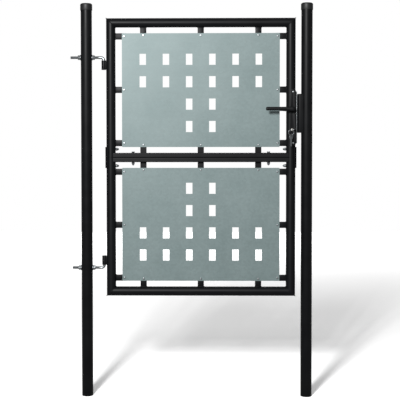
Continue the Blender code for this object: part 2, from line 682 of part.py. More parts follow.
def lock_passages():
    """Everything that passes through the lock from front to back: spindle, cylinder and bolts."""
    bm = bmesh.new()
    along_y = Matrix.Translation((SPINDLE_X, 0, SPINDLE_Z)) @ Y_AXIS
    add_cylinder(bm, SPINDLE_SIDE * 0.5 * sqrt(2) + 2 * GAP, -0.03, 0.03, along_y, 24)
    add_prism(bm, cylinder_outline(GAP), -0.03, 0.03, IN_GATE_PLANE)
    for z in PLATE_BOLTS:
        add_cylinder(bm, M5_RADIUS + GAP, -0.03, 0.03, Matrix.Translation((PLATE_BOLT_X, 0, z)) @ Y_AXIS)
    return cutter("cut_lock_passages", bm)


def build_lock_box():
    passages = lock_passages()
    bm = bmesh.new()
    add_prism(bm, housing_outline(), -TUBE_RADIUS, TUBE_RADIUS, IN_GATE_PLANE)
    housing = piece("lock_housing", bm, POWDER_COAT)
    bm = bmesh.new()
    wall = LOCK_WALL
    add_box(bm, (LOCK_LEFT - CUT_MARGIN, -TUBE_RADIUS + wall, LOCK_BOTTOM + wall),
            (LOCK_RIGHT + CUT_MARGIN, TUBE_RADIUS - wall, LOCK_TOP - wall))
    boolean(housing, cutter("cut_housing", bm))
    boolean(housing, passages)

    for side, name in ((-1, "front"), (1, "back")):
        low, high = sorted((side * (TUBE_RADIUS + GAP), side * (TUBE_RADIUS + GAP + PLATE_THICKNESS)))
        bm = bmesh.new()
        add_prism(bm, housing_outline(), low, high, IN_GATE_PLANE)
        plate = piece(name + "_escutcheon", bm, POWDER_COAT)
        boolean(plate, passages)

    # The mortise case is open towards the forend and holds the follower and both bolts.
    bm = bmesh.new()
    right = LOCK_RIGHT - GAP
    add_box(bm, (CASE_LEFT, -CASE_HALF_DEPTH, CASE_BOTTOM), (right, CASE_HALF_DEPTH, CASE_TOP))
    case = piece("lock_case", bm, ZINC)
    bm = bmesh.new()
    wall = CASE_WALL
    add_box(bm, (CASE_LEFT + wall, -CASE_HALF_DEPTH + wall, CASE_BOTTOM + wall),
            (right + CUT_MARGIN, CASE_HALF_DEPTH - wall, CASE_TOP - wall))
    boolean(case, cutter("cut_case", bm))
    boolean(case, passages)

    low = FOREND_FRONT - PLATE_THICKNESS
    bm = bmesh.new()
    half_depth = TUBE_RADIUS - 0.0005
    add_box(bm, (low, -half_depth, LOCK_BOTTOM + FOREND_END),
            (FOREND_FRONT, half_depth, LOCK_TOP - FOREND_END))
    forend = piece("forend", bm, ZINC)
    bm = bmesh.new()
    add_bolt_openings(bm, low - CUT_MARGIN, low + CUT_MARGIN, GAP)
    for z in (*FOREND_SCREWS, CYLINDER_SCREW_Z):
        place = Matrix.Translation((low, 0, z)) @ X_AXIS
        add_cylinder(bm, M5_RADIUS + GAP, -CUT_MARGIN, CUT_MARGIN, place, SCREW_SEGMENTS)
    boolean(forend, cutter("cut_forend", bm))

    head = FOREND_FRONT + GAP
    for name, z, length in (("forend_screw_lower", FOREND_SCREWS[0], 0.014),
                            ("forend_screw_upper", FOREND_SCREWS[1], 0.014),
                            ("cylinder_screw", CYLINDER_SCREW_Z, 0.023)):
        bm = bmesh.new()
        add_turned(bm, [(0, -length), (M5_RADIUS, -length), (M5_RADIUS, 0), (0.0042, 0), (0.0034, 0.0011),
                        (0, 0.0013)], Matrix.Translation((head, 0, z)) @ X_AXIS, SCREW_SEGMENTS)
        piece(name, bm, ZINC)

    reach = TUBE_RADIUS + PLATE_THICKNESS + 2 * GAP
    for z, level in zip(PLATE_BOLTS, ("lower", "upper")):
        bm = bmesh.new()
        place = Matrix.Translation((PLATE_BOLT_X, 0, z)) @ Y_AXIS
        far_head = [(M5_RADIUS, reach), (M5_HEAD_RADIUS, reach), (0.0045, reach + 0.0006),
                    (0.0030, reach + 0.0020), (0, reach + M5_HEAD_HEIGHT)]
        near_head = [(radius, -height) for radius, height in reversed(far_head)]
        add_turned(bm, near_head + far_head, place, SCREW_SEGMENTS)
        piece("escutcheon_bolt_" + level, bm, ZINC)


def build_cylinder():
    bm = bmesh.new()
    add_prism(bm, cylinder_outline(), -CYLINDER_HALF, CYLINDER_HALF, IN_GATE_PLANE)
    body = piece("cylinder_body", bm, BLACKED_STEEL)
    bm = bmesh.new()
    axis = Matrix.Translation((SPINDLE_X, 0, CYLINDER_Z)) @ Y_AXIS
    add_cylinder(bm, PLUG_RADIUS + GAP, -CYLINDER_HALF - CUT_MARGIN, CYLINDER_HALF + CUT_MARGIN, axis, 32)
    boolean(body, cutter("cut_plug_bore", bm))
    bm = bmesh.new()
    add_box(bm, (SPINDLE_X - 0.02, -CAM_SLOT_HALF, CYLINDER_Z - CAM_RADIUS - 0.001),
            (SPINDLE_X + 0.02, CAM_SLOT_HALF, CYLINDER_Z + 0.02))
    place = Matrix.Translation((SPINDLE_X, 0, CYLINDER_SCREW_Z)) @ X_AXIS
    add_cylinder(bm, M5_RADIUS + GAP, -0.02, 0.02, place)
    boolean(body, cutter("cut_cam_slot", bm))

    # Plug, cam and key turn together; they are drawn upright and then turned to the key's tilt.
    turn = Matrix.Rotation(pi / 2 - KEY_TILT, 4, "Y")
    tilt = Matrix.Translation(KEY_AXIS) @ turn @ Matrix.Translation(-KEY_AXIS)
    bm = bmesh.new()
    add_cylinder(bm, PLUG_RADIUS, -CYLINDER_HALF, CYLINDER_HALF, axis, 32)
    plug = piece("cylinder_plug", bm, BRASS, KEY_AXIS)
    bm = bmesh.new()
    add_box(bm, KEY_AXIS + Vector((-0.0012, -0.05, -0.0043)), KEY_AXIS + Vector((0.0012, -0.002, 0.0043)))
    bmesh.ops.transform(bm, matrix=tilt, verts=bm.verts)
    boolean(plug, cutter("cut_keyway", bm))

    lobe = asin(CAM_LOBE_HALF / CAM_HUB_RADIUS)
    lobe_end = KEY_AXIS.z - CAM_RADIUS + 0.0006
    outline = [(KEY_AXIS.x + CAM_LOBE_HALF, lobe_end)]
    outline += arc((KEY_AXIS.x, KEY_AXIS.z), CAM_HUB_RADIUS, -pi / 2 + lobe, 3 * pi / 2 - lobe, 20)
    outline += [(KEY_AXIS.x - CAM_LOBE_HALF, lobe_end)]
    bm = bmesh.new()
    add_prism(bm, outline, -CAM_HALF, CAM_HALF, IN_GATE_PLANE)
    cam = piece("cylinder_cam", bm, ZINC, KEY_AXIS)
    bm = bmesh.new()
    add_cylinder(bm, PLUG_RADIUS + GAP, -CUT_MARGIN, CUT_MARGIN, axis, 32)
    boolean(cam, cutter("cut_cam_bore", bm))

    # Upright key: the bow stands in the plane of Y and Z with its hole on the plug's axis.
    # The outline is drawn as (y, z) and extruded along X.
    along_x = Matrix(((0, 0, 1, KEY_AXIS.x), (1, 0, 0, 0), (0, 1, 0, KEY_AXIS.z), (0, 0, 0, 1)))
    blade = BLADE_HALF
    start = asin(blade / KEY_BOW_RADIUS)
    outline = [(-0.006, blade - 0.0015), (-0.008, blade), (-CYLINDER_HALF - 0.001, blade)]
    outline += arc((KEY_BOW_Y + 0.004, 0), KEY_BOW_RADIUS, start, 2 * pi - start, 22)
    outline += [(-CYLINDER_HALF - 0.001, -blade), (-0.008, -blade), (-0.006, -blade + 0.0015)]
    bm = bmesh.new()
    add_prism(bm, outline, -KEY_HALF_THICKNESS, KEY_HALF_THICKNESS, along_x)
    bmesh.ops.transform(bm, matrix=tilt, verts=bm.verts)
    key = piece("key", bm, ZINC, KEY_AXIS)
    bm = bmesh.new()
    place = Matrix.Translation((KEY_AXIS.x, KEY_BOW_Y, KEY_AXIS.z)) @ X_AXIS
    add_cylinder(bm, KEY_HOLE_RADIUS, -CUT_MARGIN, CUT_MARGIN, place, 20)
    bmesh.ops.transform(bm, matrix=tilt, verts=bm.verts)
    boolean(key, cutter("cut_bow_hole", bm))


def build_key_ring():
    centre = RING_PIVOT - Vector((0, 0, RING_DROP))
    steps = 20
    angles = [2 * pi * k / steps for k in range(steps)]
    wire = [centre + RING_RADIUS * Vector((cos(a), 0, sin(a))) for a in angles]
    bm = bmesh.new()
    add_swept(bm, wire, RING_WIRE, 6, closed=True)
    piece("key_ring", bm, ZINC, RING_PIVOT)

    # The spare hangs from the ring's lowest point by the hole in its bow, blade downwards.
    hook = centre - Vector((0, 0, RING_RADIUS + 0.0025))
    blade = BLADE_HALF
    start = asin(blade / SPARE_BOW_RADIUS)
    outline = arc((0, -0.0060), SPARE_BOW_RADIUS, -pi / 2 + start, 3 * pi / 2 - start, 20)
    outline += [(-blade, -SPARE_TIP + SPARE_TAPER), (-blade + 0.002, -SPARE_TIP),
                (blade - 0.002, -SPARE_TIP), (blade, -SPARE_TIP + SPARE_TAPER)]
    turn = Matrix.Translation(hook) @ Matrix.Rotation(SPARE_TURN, 4, "Z")
    bm = bmesh.new()
    add_prism(bm, outline, -KEY_HALF_THICKNESS, KEY_HALF_THICKNESS, turn @ IN_GATE_PLANE)
    spare = piece("spare_key", bm, ZINC, RING_PIVOT)
    bm = bmesh.new()
    add_cylinder(bm, SPARE_HOLE_RADIUS, -CUT_MARGIN, CUT_MARGIN, turn @ Y_AXIS, 20)
    boolean(spare, cutter("cut_spare_hole", bm))


def build_handle():
    neck_start = TUBE_RADIUS + PLATE_THICKNESS + 2 * GAP
    for side, name in ((-1, "front"), (1, "back")):
        # Lever arm, drawn as (x, z): nearly straight along the top, with a waist below.
        tip = SPINDLE_X - LEVER_REACH
        corner = LEVER_TIP_CORNER
        profile = [(SPINDLE_X, LEVER_ROOT_TOP), (tip + corner, LEVER_TIP_TOP), (tip, LEVER_TIP_TOP - corner),
                   (tip, LEVER_TIP_BOTTOM + corner), (tip + corner, LEVER_TIP_BOTTOM),
                   (SPINDLE_X - LEVER_WAIST_X, LEVER_WAIST_BOTTOM),
                   (SPINDLE_X - LEVER_ROOT_X, -LEVER_HUB_RADIUS)]
        outline = [(x, SPINDLE_Z + height) for x, height in profile]
        outline += arc((SPINDLE_X, SPINDLE_Z), LEVER_HUB_RADIUS, -pi / 2 - 0.2, pi / 2 - 0.3, 8)
        low, high = sorted((side * LEVER_INNER_Y, side * LEVER_OUTER_Y))
        bm = bmesh.new()
        add_prism(bm, outline, low, high, IN_GATE_PLANE)
        lever = piece(name + "_lever", bm, POWDER_COAT, HANDLE_AXIS)
        bm = bmesh.new()
        low, high = sorted((side * neck_start, side * (LEVER_INNER_Y + 0.003)))
        add_cylinder(bm, NECK_RADIUS, low, high, Matrix.Translation(HANDLE_AXIS) @ Y_AXIS, 24)
        boolean(lever, cutter("neck_" + name, bm), "UNION")
        bm = bmesh.new()
        half = SPINDLE_SIDE / 2 + GAP
        low, high = sorted((side * 0.010, side * (SPINDLE_HALF + GAP)))
        add_box(bm, HANDLE_AXIS + Vector((-half, low, -half)), HANDLE_AXIS + Vector((half, high, half)))
        boolean(lever, cutter("cut_socket_" + name, bm))

    half = SPINDLE_SIDE / 2
    bm = bmesh.new()
    corner = Vector((half, SPINDLE_HALF, half))
    add_box(bm, HANDLE_AXIS - corner, HANDLE_AXIS + corner)
    piece("spindle", bm, ZINC, HANDLE_AXIS)

    # Follower: a hub on the spindle with one finger that pushes the latch's tail back.
    finger = asin(FINGER_HALF / FOLLOWER_RADIUS)
    outline = arc((SPINDLE_X, SPINDLE_Z), FOLLOWER_RADIUS, pi / 2 + finger, 5 * pi / 2 - finger, 24)
    outline += [(SPINDLE_X + FINGER_HALF, SPINDLE_Z + FINGER_TOP),
                (SPINDLE_X - FINGER_HALF, SPINDLE_Z + FINGER_TOP)]
    bm = bmesh.new()
    add_prism(bm, outline, -FOLLOWER_HALF, FOLLOWER_HALF, IN_GATE_PLANE)
    follower = piece("follower", bm, ZINC, HANDLE_AXIS)
    bm = bmesh.new()
    half = SPINDLE_SIDE / 2 + GAP
    add_box(bm, HANDLE_AXIS + Vector((-half, -0.02, -half)), HANDLE_AXIS + Vector((half, 0.02, half)))
    boolean(follower, cutter("cut_follower", bm))


def build_bolts():
    low = LATCH_Z - LATCH_HEIGHT / 2
    high = LATCH_Z + LATCH_HEIGHT / 2
    body_left = LOCK_STILE_X + 0.014
    tail_left = LOCK_STILE_X - 0.004
    # Latch: (x, z) outline with a tail strip and a lug that hangs down beside the follower's finger.
    lug_right = SPINDLE_X - 0.0041
    strip = SPINDLE_Z + 0.0175
    outline = [(body_left, low), (LATCH_TIP_X, low), (LATCH_TIP_X, high), (body_left, high),
               (body_left, strip + 0.006), (tail_left, strip + 0.006), (tail_left, strip - 0.008),
               (lug_right, strip - 0.008), (lug_right, strip), (body_left, strip)]
    bm = bmesh.new()
    add_prism(bm, outline, -LATCH_HALF, LATCH_HALF, IN_GATE_PLANE)
    latch = piece("latch_bolt", bm, BLACKED_STEEL, (LATCH_TIP_X, 0, LATCH_Z))
    # The nose slopes on the side that meets the keep when the leaf closes.
    bm = bmesh.new()
    root = LATCH_TIP_X - LATCH_SLOPE
    past = LATCH_TIP_X + 0.001
    nose = [(root, LATCH_HALF + 0.0005), (past, -LATCH_HALF + 0.003),
            (past, LATCH_HALF + 0.004), (root, LATCH_HALF + 0.004)]
    add_prism(bm, nose, low - CUT_MARGIN, high + CUT_MARGIN)
    boolean(latch, cutter("cut_latch_nose", bm))

    bm = bmesh.new()
    add_box(bm, (DEADBOLT_TIP_X - DEADBOLT_LENGTH, -DEADBOLT_HALF, DEADBOLT_Z - DEADBOLT_HEIGHT / 2),
            (DEADBOLT_TIP_X, DEADBOLT_HALF, DEADBOLT_Z + DEADBOLT_HEIGHT / 2))
    piece("deadbolt", bm, BLACKED_STEEL, (DEADBOLT_TIP_X, 0, DEADBOLT_Z))


# ---------------------------------------------------------------- keep on the right post
def build_keep():
    left = KEEP_LEFT
    web = KEEP_LEFT + KEEP_THICKNESS
    stop_front = POST_RADIUS + GAP
    stop_back = stop_front + STOP_THICKNESS
    flange_back = KEEP_FRONT_Y + KEEP_FLANGE
    outline = [(left + KEEP_CORNER, KEEP_FRONT_Y), (KEEP_TIP_X, KEEP_FRONT_Y), (KEEP_TIP_X, flange_back),
               (web, flange_back), (web, stop_front), (POST_X, stop_front), (POST_X, stop_back),
               (STOP_LEFT, stop_back), (STOP_LEFT, stop_front), (left, stop_front),
               (left, KEEP_FRONT_Y + KEEP_CORNER)]
    bm = bmesh.new()
    add_prism(bm, outline, KEEP_BOTTOM, KEEP_TOP)
    keep = piece("keep", bm, POWDER_COAT)
    bm = bmesh.new()
    add_bolt_openings(bm, left - CUT_MARGIN, web + 0.005, BOLT_PLAY)
    boolean(keep, cutter("cut_keep", bm))
    boolean(keep, KEEP_SCREW_HOLES)
    for z, level in ((KEEP_BOTTOM + KEEP_SCREW_OFFSET, "lower"), (KEEP_TOP - KEEP_SCREW_OFFSET, "upper")):
        bm = bmesh.new()
        head = [(0, -M5_HEAD_HEIGHT), (0.0034, -0.0018), (0.0044, 0)]
        shank = [(M5_RADIUS, 0), (M5_RADIUS, 0.0205), (0, 0.0205)]
        add_turned(bm, head + shank, Matrix.Translation((left - GAP, 0, z)) @ X_AXIS, SCREW_SEGMENTS)
        piece("keep_screw_" + level, bm, ZINC)


KEEP_SCREW_HOLES = keep_screw_holes()
SPLICE_HOLES = splice_bolt_holes()
SHEET_SCREW_HOLES = {half: sheet_screw_holes(half) for half in (1, -1)}

build_posts()
build_hinges()
build_frame()
build_splices()
build_panels()
build_lock_box()
build_cylinder()
build_key_ring()
build_handle()
build_bolts()
build_keep()
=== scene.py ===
# %% [markdown]
# # A garden gate of black powder-coated steel with two galvanised sheets
#
# The gate leaf hangs between two round posts. The CAD model gives every piece its place, so this
# script starts from it: it keeps the pieces whose shape is already right, gives them their real
# finish, and models again the pieces that want finer detail, such as tubes, welds and screws.

import json
from math import atan2, cos, pi, radians, sin, sqrt

import bmesh
import bpy
from mathutils import Matrix, Vector


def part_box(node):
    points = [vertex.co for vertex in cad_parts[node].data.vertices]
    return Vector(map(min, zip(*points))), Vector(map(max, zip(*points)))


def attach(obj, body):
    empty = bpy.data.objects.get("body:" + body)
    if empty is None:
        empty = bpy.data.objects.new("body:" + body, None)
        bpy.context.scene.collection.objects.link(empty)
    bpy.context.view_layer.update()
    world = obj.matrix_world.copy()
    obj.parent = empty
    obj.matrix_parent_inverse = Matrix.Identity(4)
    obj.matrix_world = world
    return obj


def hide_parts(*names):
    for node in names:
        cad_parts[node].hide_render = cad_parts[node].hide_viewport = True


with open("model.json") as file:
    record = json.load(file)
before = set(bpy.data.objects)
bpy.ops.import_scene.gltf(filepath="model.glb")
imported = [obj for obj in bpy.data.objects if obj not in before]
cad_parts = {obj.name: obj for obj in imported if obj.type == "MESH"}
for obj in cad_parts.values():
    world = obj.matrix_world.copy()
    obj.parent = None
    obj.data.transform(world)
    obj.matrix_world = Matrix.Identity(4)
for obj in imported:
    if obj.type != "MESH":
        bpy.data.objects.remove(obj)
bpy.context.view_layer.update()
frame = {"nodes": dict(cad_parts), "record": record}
bodies = frame["record"]["behaviour"]["bodies"]

# %% [markdown]
# ## The studio
#
# The gate is seen almost square on, from a little above mid height. A long lens keeps the posts
# upright. Such a view could be set by eye; here the camera's place, its small turn and its lens
# are plain numbers, so that the picture stays the same each time the script is run.

# %% Camera
CAMERA_PLACE = Vector((0.0, -4.0, 1.12))
CAMERA_LENS = 83.2868
CAMERA_SHIFT = (0.043507, -0.0881541)
CAMERA_YAW, CAMERA_PITCH, CAMERA_ROLL = -0.0150273, -0.0288925, -0.000950088

forward = Vector((
    sin(CAMERA_YAW) * cos(CAMERA_PITCH),
    cos(CAMERA_YAW) * cos(CAMERA_PITCH),
    sin(CAMERA_PITCH),
))
level_right = Vector((cos(CAMERA_YAW), -sin(CAMERA_YAW), 0.0))
level_up = level_right.cross(forward)
right = cos(CAMERA_ROLL) * level_right + sin(CAMERA_ROLL) * level_up
up = cos(CAMERA_ROLL) * level_up - sin(CAMERA_ROLL) * level_right

camera = bpy.data.objects.new("camera", bpy.data.cameras.new("camera"))
bpy.context.scene.collection.objects.link(camera)
camera.data.sensor_width = 36.0
camera.data.lens = CAMERA_LENS
camera.data.shift_x, camera.data.shift_y = CAMERA_SHIFT
camera.matrix_world = Matrix((
    (right.x, up.x, -forward.x, CAMERA_PLACE.x),
    (right.y, up.y, -forward.y, CAMERA_PLACE.y),
    (right.z, up.z, -forward.z, CAMERA_PLACE.z),
    (0.0, 0.0, 0.0, 1.0),
))
bpy.context.scene.camera = camera
bpy.context.scene.view_settings.view_transform = "Standard"
print("camera", round(CAMERA_PLACE.length, 2), "m from the middle of the foot line")

# %% [markdown]
# The floor is a wide white sheet, and the far wall is only brightness: the world shows white to
# the eye, but lights the gate with less than that, because black paint would turn grey if all the
# room shone on it. One soft lamp stands high at the front left, as a softbox would, and throws
# the shadows back and to the right. A second one in the same place lights only the floor, so that
# the paper turns white while the gate's paint stays black. Another, behind the gate, keeps the far
# floor white. The floor glows a little, so that its shadows stay pale, and it throws no light
# back on the gate.

# %% Floor, world and lamps
WHITE = (1.0, 1.0, 1.0, 1.0)
WORLD_LIGHT = 0.26
FLOOR_SIZE = 14.0
FLOOR_GLOW = 0.14


def add_node(tree, kind, inputs=None, **settings):
    """A node with its settings; an input is a plain value, or the socket that feeds it."""
    made = tree.nodes.new(kind)
    for name, value in settings.items():
        setattr(made, name, value)
    for name, value in (inputs or {}).items():
        if isinstance(value, bpy.types.NodeSocket):
            tree.links.new(value, made.inputs[name])
        else:
            made.inputs[name].default_value = value
    return made


def linear(hex_colour):
    """An sRGB hex colour as the linear numbers that a shader works with."""
    parts = [int(hex_colour[i:i + 2], 16) / 255 for i in (1, 3, 5)]
    return tuple(
        p / 12.92 if p < 0.04045 else ((p + 0.055) / 1.055) ** 2.4 for p in parts
    ) + (1.0,)


def lamp(name, place, aim, size, power):
    """A square soft white lamp at a place, turned to shine at a point."""
    made = bpy.data.objects.new(name, bpy.data.lights.new(name, "AREA"))
    bpy.context.scene.collection.objects.link(made)
    made.data.size = size
    made.data.energy = power
    made.location = place
    made.rotation_mode = "QUATERNION"
    made.rotation_quaternion = (Vector(aim) - Vector(place)).to_track_quat("-Z", "Y")
    return made


world = bpy.data.worlds.new("studio")
bpy.context.scene.world = world
world.use_nodes = True
world.node_tree.nodes.clear()
ray = add_node(world.node_tree, "ShaderNodeLightPath")
room = add_node(world.node_tree, "ShaderNodeBackground", {"Color": WHITE, "Strength": WORLD_LIGHT})
seen = add_node(world.node_tree, "ShaderNodeBackground", {"Color": WHITE, "Strength": 1.0})
either = add_node(world.node_tree, "ShaderNodeMixShader", {0: ray.outputs["Is Camera Ray"]})
world.node_tree.links.new(room.outputs[0], either.inputs[1])
world.node_tree.links.new(seen.outputs[0], either.inputs[2])
add_node(world.node_tree, "ShaderNodeOutputWorld", {"Surface": either.outputs[0]})

KEY_PLACE = (-1.05, -3.9, 2.4)
KEY_AIM = (0.0, 0.0, 1.0)
lamp("key_lamp", KEY_PLACE, KEY_AIM, size=0.8, power=190.0)
floor_lamp = lamp("floor_lamp", KEY_PLACE, KEY_AIM, size=0.4, power=250.0)
lamp("far_floor_lamp", (0.0, 7.5, 3.2), (0.0, 7.5, 0.0), size=6.0, power=330.0)

bpy.ops.mesh.primitive_plane_add(size=FLOOR_SIZE, location=(0.0, 0.0, 0.0))
floor = bpy.context.object
floor.name = "floor"
paper = bpy.data.materials.new("white_studio_paper")
paper.use_nodes = True
paper_inputs = paper.node_tree.nodes["Principled BSDF"].inputs
paper_inputs["Base Color"].default_value = linear("#fafafa")
paper_inputs["Roughness"].default_value = 0.9
paper_inputs["Specular IOR Level"].default_value = 0.0
paper_inputs["Emission Color"].default_value = WHITE
paper_inputs["Emission Strength"].default_value = FLOOR_GLOW
floor.data.materials.append(paper)
floor_only = bpy.data.collections.new("floor_only")
floor_only.objects.link(floor)
floor_lamp.light_linking.receiver_collection = floor_only
floor.visible_diffuse = False
floor.visible_glossy = False
print("floor", FLOOR_SIZE, "m wide")

# %% [markdown]
# ## Finishes
#
# Powder coat is dry paint, sprayed on as dust and baked until it flows. It is black and half
# glossy, and where it flowed it leaves low waves a few millimetres long, called orange peel,
# which break up a reflection. The waves are a bump from a noise of that size.

# %% Powder coat
MM = 0.001
PATTERN_LOW, PATTERN_HIGH = 0.3, 0.7   # where nearly all of a noise lies


def finish(name, colour, metallic, roughness):
    """A material with one principled shader, and the tree, shader and coordinates to build on."""
    made = bpy.data.materials.new(name)
    made.use_nodes = True
    tree = made.node_tree
    shader = tree.nodes["Principled BSDF"]
    shader.inputs["Base Color"].default_value = linear(colour)
    shader.inputs["Metallic"].default_value = metallic
    shader.inputs["Roughness"].default_value = roughness
    place = add_node(tree, "ShaderNodeTexCoord").outputs["Object"]
    return made, tree, shader, place


def pattern(tree, place, size, detail, stretch=(1.0, 1.0, 1.0)):
    """Noise whose blotches are about one size in metres, longer where it is stretched."""
    fitted = add_node(tree, "ShaderNodeMapping", {
        "Vector": place, "Scale": [1.0 / factor for factor in stretch],
    })
    return add_node(tree, "ShaderNodeTexNoise", {
        "Vector": fitted.outputs["Vector"], "Scale": 1.0 / size, "Detail": detail,
    }).outputs["Fac"]


def spread(tree, value, low, high):
    """A pattern turned into numbers from low to high."""
    return add_node(tree, "ShaderNodeMapRange", {
        "Value": value, "From Min": PATTERN_LOW, "From Max": PATTERN_HIGH,
        "To Min": low, "To Max": high,
    }).outputs["Result"]


def blend_colours(tree, value, dark, light):
    """A colour between two, by a pattern."""
    ramp = add_node(tree, "ShaderNodeValToRGB", {"Fac": value})
    ramp.color_ramp.elements[0].position = PATTERN_LOW
    ramp.color_ramp.elements[1].position = PATTERN_HIGH
    ramp.color_ramp.elements[0].color = linear(dark)
    ramp.color_ramp.elements[1].color = linear(light)
    return ramp.outputs["Color"]


def relief(tree, shader, value, height):
    """Makes a pattern stand a real height in metres out of the surface."""
    bump = add_node(tree, "ShaderNodeBump", {"Height": value, "Distance": height, "Strength": 1.0})
    tree.links.new(bump.outputs["Normal"], shader.inputs["Normal"])


powder_coat, tree, shader, place = finish("powder_coated_steel", "#0c0d0f", 0.0, 0.44)
dust = pattern(tree, place, 60 * MM, 4.0)
tree.links.new(blend_colours(tree, dust, "#0a0b0d", "#101113"), shader.inputs["Base Color"])
tree.links.new(spread(tree, dust, 0.41, 0.48), shader.inputs["Roughness"])
relief(tree, shader, pattern(tree, place, 3.0 * MM, 1.0), 0.05 * MM)
shader.inputs["Specular IOR Level"].default_value = 0.17
print(powder_coat.name, "orange peel 3 mm long")

# %% [markdown]
# The post caps are moulded plastic with a fine grain from the mould, a little duller than the
# paint. The grain is about 1 mm here, coarser than it really is, so that it shows.

# %% Moulded plastic
cap_plastic, tree, shader, place = finish("moulded_black_plastic", "#151617", 0.0, 0.5)
grain = pattern(tree, place, 1.0 * MM, 1.0)
relief(tree, shader, grain, 0.06 * MM)
tree.links.new(spread(tree, grain, 0.46, 0.56), shader.inputs["Roughness"])
print(cap_plastic.name)

# %% [markdown]
# Hot-dip galvanised sheet is pulled through molten zinc. The zinc freezes as crystals called
# spangle, each a slightly different grey, and weathers to a dull greenish grey with soft cloudy
# patches. A Voronoi pattern gives the crystals, and a large slow noise the clouds. Rolling
# leaves a faint streak along the sheet.

# %% Galvanised sheet
galvanised_sheet, tree, shader, place = finish("hot_dip_galvanised_steel", "#778686", 0.2, 0.5)
spangle = add_node(tree, "ShaderNodeTexVoronoi", {"Vector": place, "Scale": 1.0 / (9 * MM)})
parted = add_node(tree, "ShaderNodeSeparateColor", {"Color": spangle.outputs["Color"]})
crystal = parted.outputs["Red"]
clouds = pattern(tree, place, 150 * MM, 5.0)
streaks = pattern(tree, place, 9 * MM, 3.0, stretch=(12.0, 1.0, 1.0))
tint = blend_colours(tree, clouds, "#728282", "#7b8a8a")
crystals = add_node(tree, "ShaderNodeMapRange", {
    "Value": crystal, "To Min": 0.93, "To Max": 1.03,
})
lines = spread(tree, streaks, 0.985, 1.015)
shade = add_node(tree, "ShaderNodeMath", {0: crystals.outputs["Result"], 1: lines},
                 operation="MULTIPLY")
metal_colour = add_node(tree, "ShaderNodeVectorMath", {0: tint}, operation="SCALE")
tree.links.new(shade.outputs[0], metal_colour.inputs["Scale"])
tree.links.new(metal_colour.outputs[0], shader.inputs["Base Color"])
tree.links.new(spread(tree, crystal, 0.5, 0.52), shader.inputs["Roughness"])
relief(tree, shader, pattern(tree, place, 4 * MM, 2.0), 0.02 * MM)
print(galvanised_sheet.name, "spangle 9 mm")

# %% [markdown]
# Bolts, nuts and the hinge rods are zinc plated in a bath. The layer is thin and even, a bright
# bluish silver with a fine bloom, and it dulls in patches where hands and rain have been.

# %% Zinc plate
zinc_plate, tree, shader, place = finish("zinc_plated_steel", "#aeb2b4", 1.0, 0.34)
bloom = pattern(tree, place, 7 * MM, 4.0)
tree.links.new(blend_colours(tree, bloom, "#8f9497", "#b9bdbf"), shader.inputs["Base Color"])
tree.links.new(spread(tree, bloom, 0.42, 0.28), shader.inputs["Roughness"])
relief(tree, shader, pattern(tree, place, 1.2 * MM, 1.0), 0.015 * MM)
print(zinc_plate.name)

# %% [markdown]
# The latch, the keep and other lock parts are blacked: the steel is dipped in a hot salt bath
# that turns its skin to dark oxide. It stays metal, almost black, with a slight blue sheen and
# brighter edges where it rubs.

# %% Blackened steel
blacked_steel, tree, shader, place = finish("blackened_steel", "#2b2c2f", 0.8, 0.4)
rub = pattern(tree, place, 5 * MM, 4.0)
tree.links.new(blend_colours(tree, rub, "#222326", "#36383b"), shader.inputs["Base Color"])
tree.links.new(spread(tree, rub, 0.46, 0.34), shader.inputs["Roughness"])
relief(tree, shader, pattern(tree, place, 1.5 * MM, 1.0), 0.012 * MM)
print(blacked_steel.name)

# %% [markdown]
# The lock cylinder and keys are brass with a skin of nickel: a warm silver that is polished,
# then scratched by use. Fine stretched noise gives the scratches.

# %% Nickel-plated brass
nickelled_brass, tree, shader, place = finish("nickel_plated_brass", "#b9b5ac", 1.0, 0.26)
scratches = pattern(tree, place, 0.8 * MM, 3.0, stretch=(1.0, 1.0, 14.0))
tree.links.new(blend_colours(tree, scratches, "#a8a59c", "#c6c3bb"), shader.inputs["Base Color"])
tree.links.new(spread(tree, scratches, 0.2, 0.34), shader.inputs["Roughness"])
relief(tree, shader, scratches, 0.01 * MM)
print(nickelled_brass.name)

# %% [markdown]
# Every CAD node arrives with a plain material that is named for its slot in the record. It is
# swapped for the finish of that slot.

# %% Finishes on the CAD nodes
FINISHES = {
    "powder_coat": powder_coat,
    "cap_plastic": cap_plastic,
    "galvanised_sheet": galvanised_sheet,
    "zinc_plate": zinc_plate,
    "blacked_steel": blacked_steel,
    "nickelled_brass": nickelled_brass,
}
finish_of = {}
for node_name, node in frame["nodes"].items():
    finish_of[node_name] = node.material_slots[0].material.name
    node.material_slots[0].material = FINISHES[finish_of[node_name]]
print(len(finish_of), "nodes have a finish")

# %% [markdown]
# ## How the pieces are modelled
#
# A mesh operator acts on all that is selected, so each step first deselects everything. A piece
# starts as a primitive at its size and place. Its faces and edges are then picked by where they
# are and which way they look, and are extruded, inset or bevelled. At the end a piece gets its
# finish and the body it rides on, and the CAD node that it stands for is hidden.

# %% Helpers for modelling
SMOOTH_ANGLE = radians(35)


def alone(obj=None):
    """Object mode, with nothing selected but the given object."""
    if bpy.context.mode != "OBJECT":
        bpy.ops.object.mode_set(mode="OBJECT")
    bpy.ops.object.select_all(action="DESELECT")
    if obj is not None:
        bpy.context.view_layer.objects.active = obj
        obj.select_set(True)


def start(shape, name, **size):
    """A primitive at its size and place, open in edit mode and selected all over."""
    alone()
    getattr(bpy.ops.mesh, "primitive_" + shape + "_add")(**size)
    made = bpy.context.object
    made.name = name
    bpy.ops.object.transform_apply(location=True, rotation=True, scale=True)
    bpy.ops.object.mode_set(mode="EDIT")
    bpy.ops.mesh.select_all(action="SELECT")
    return made


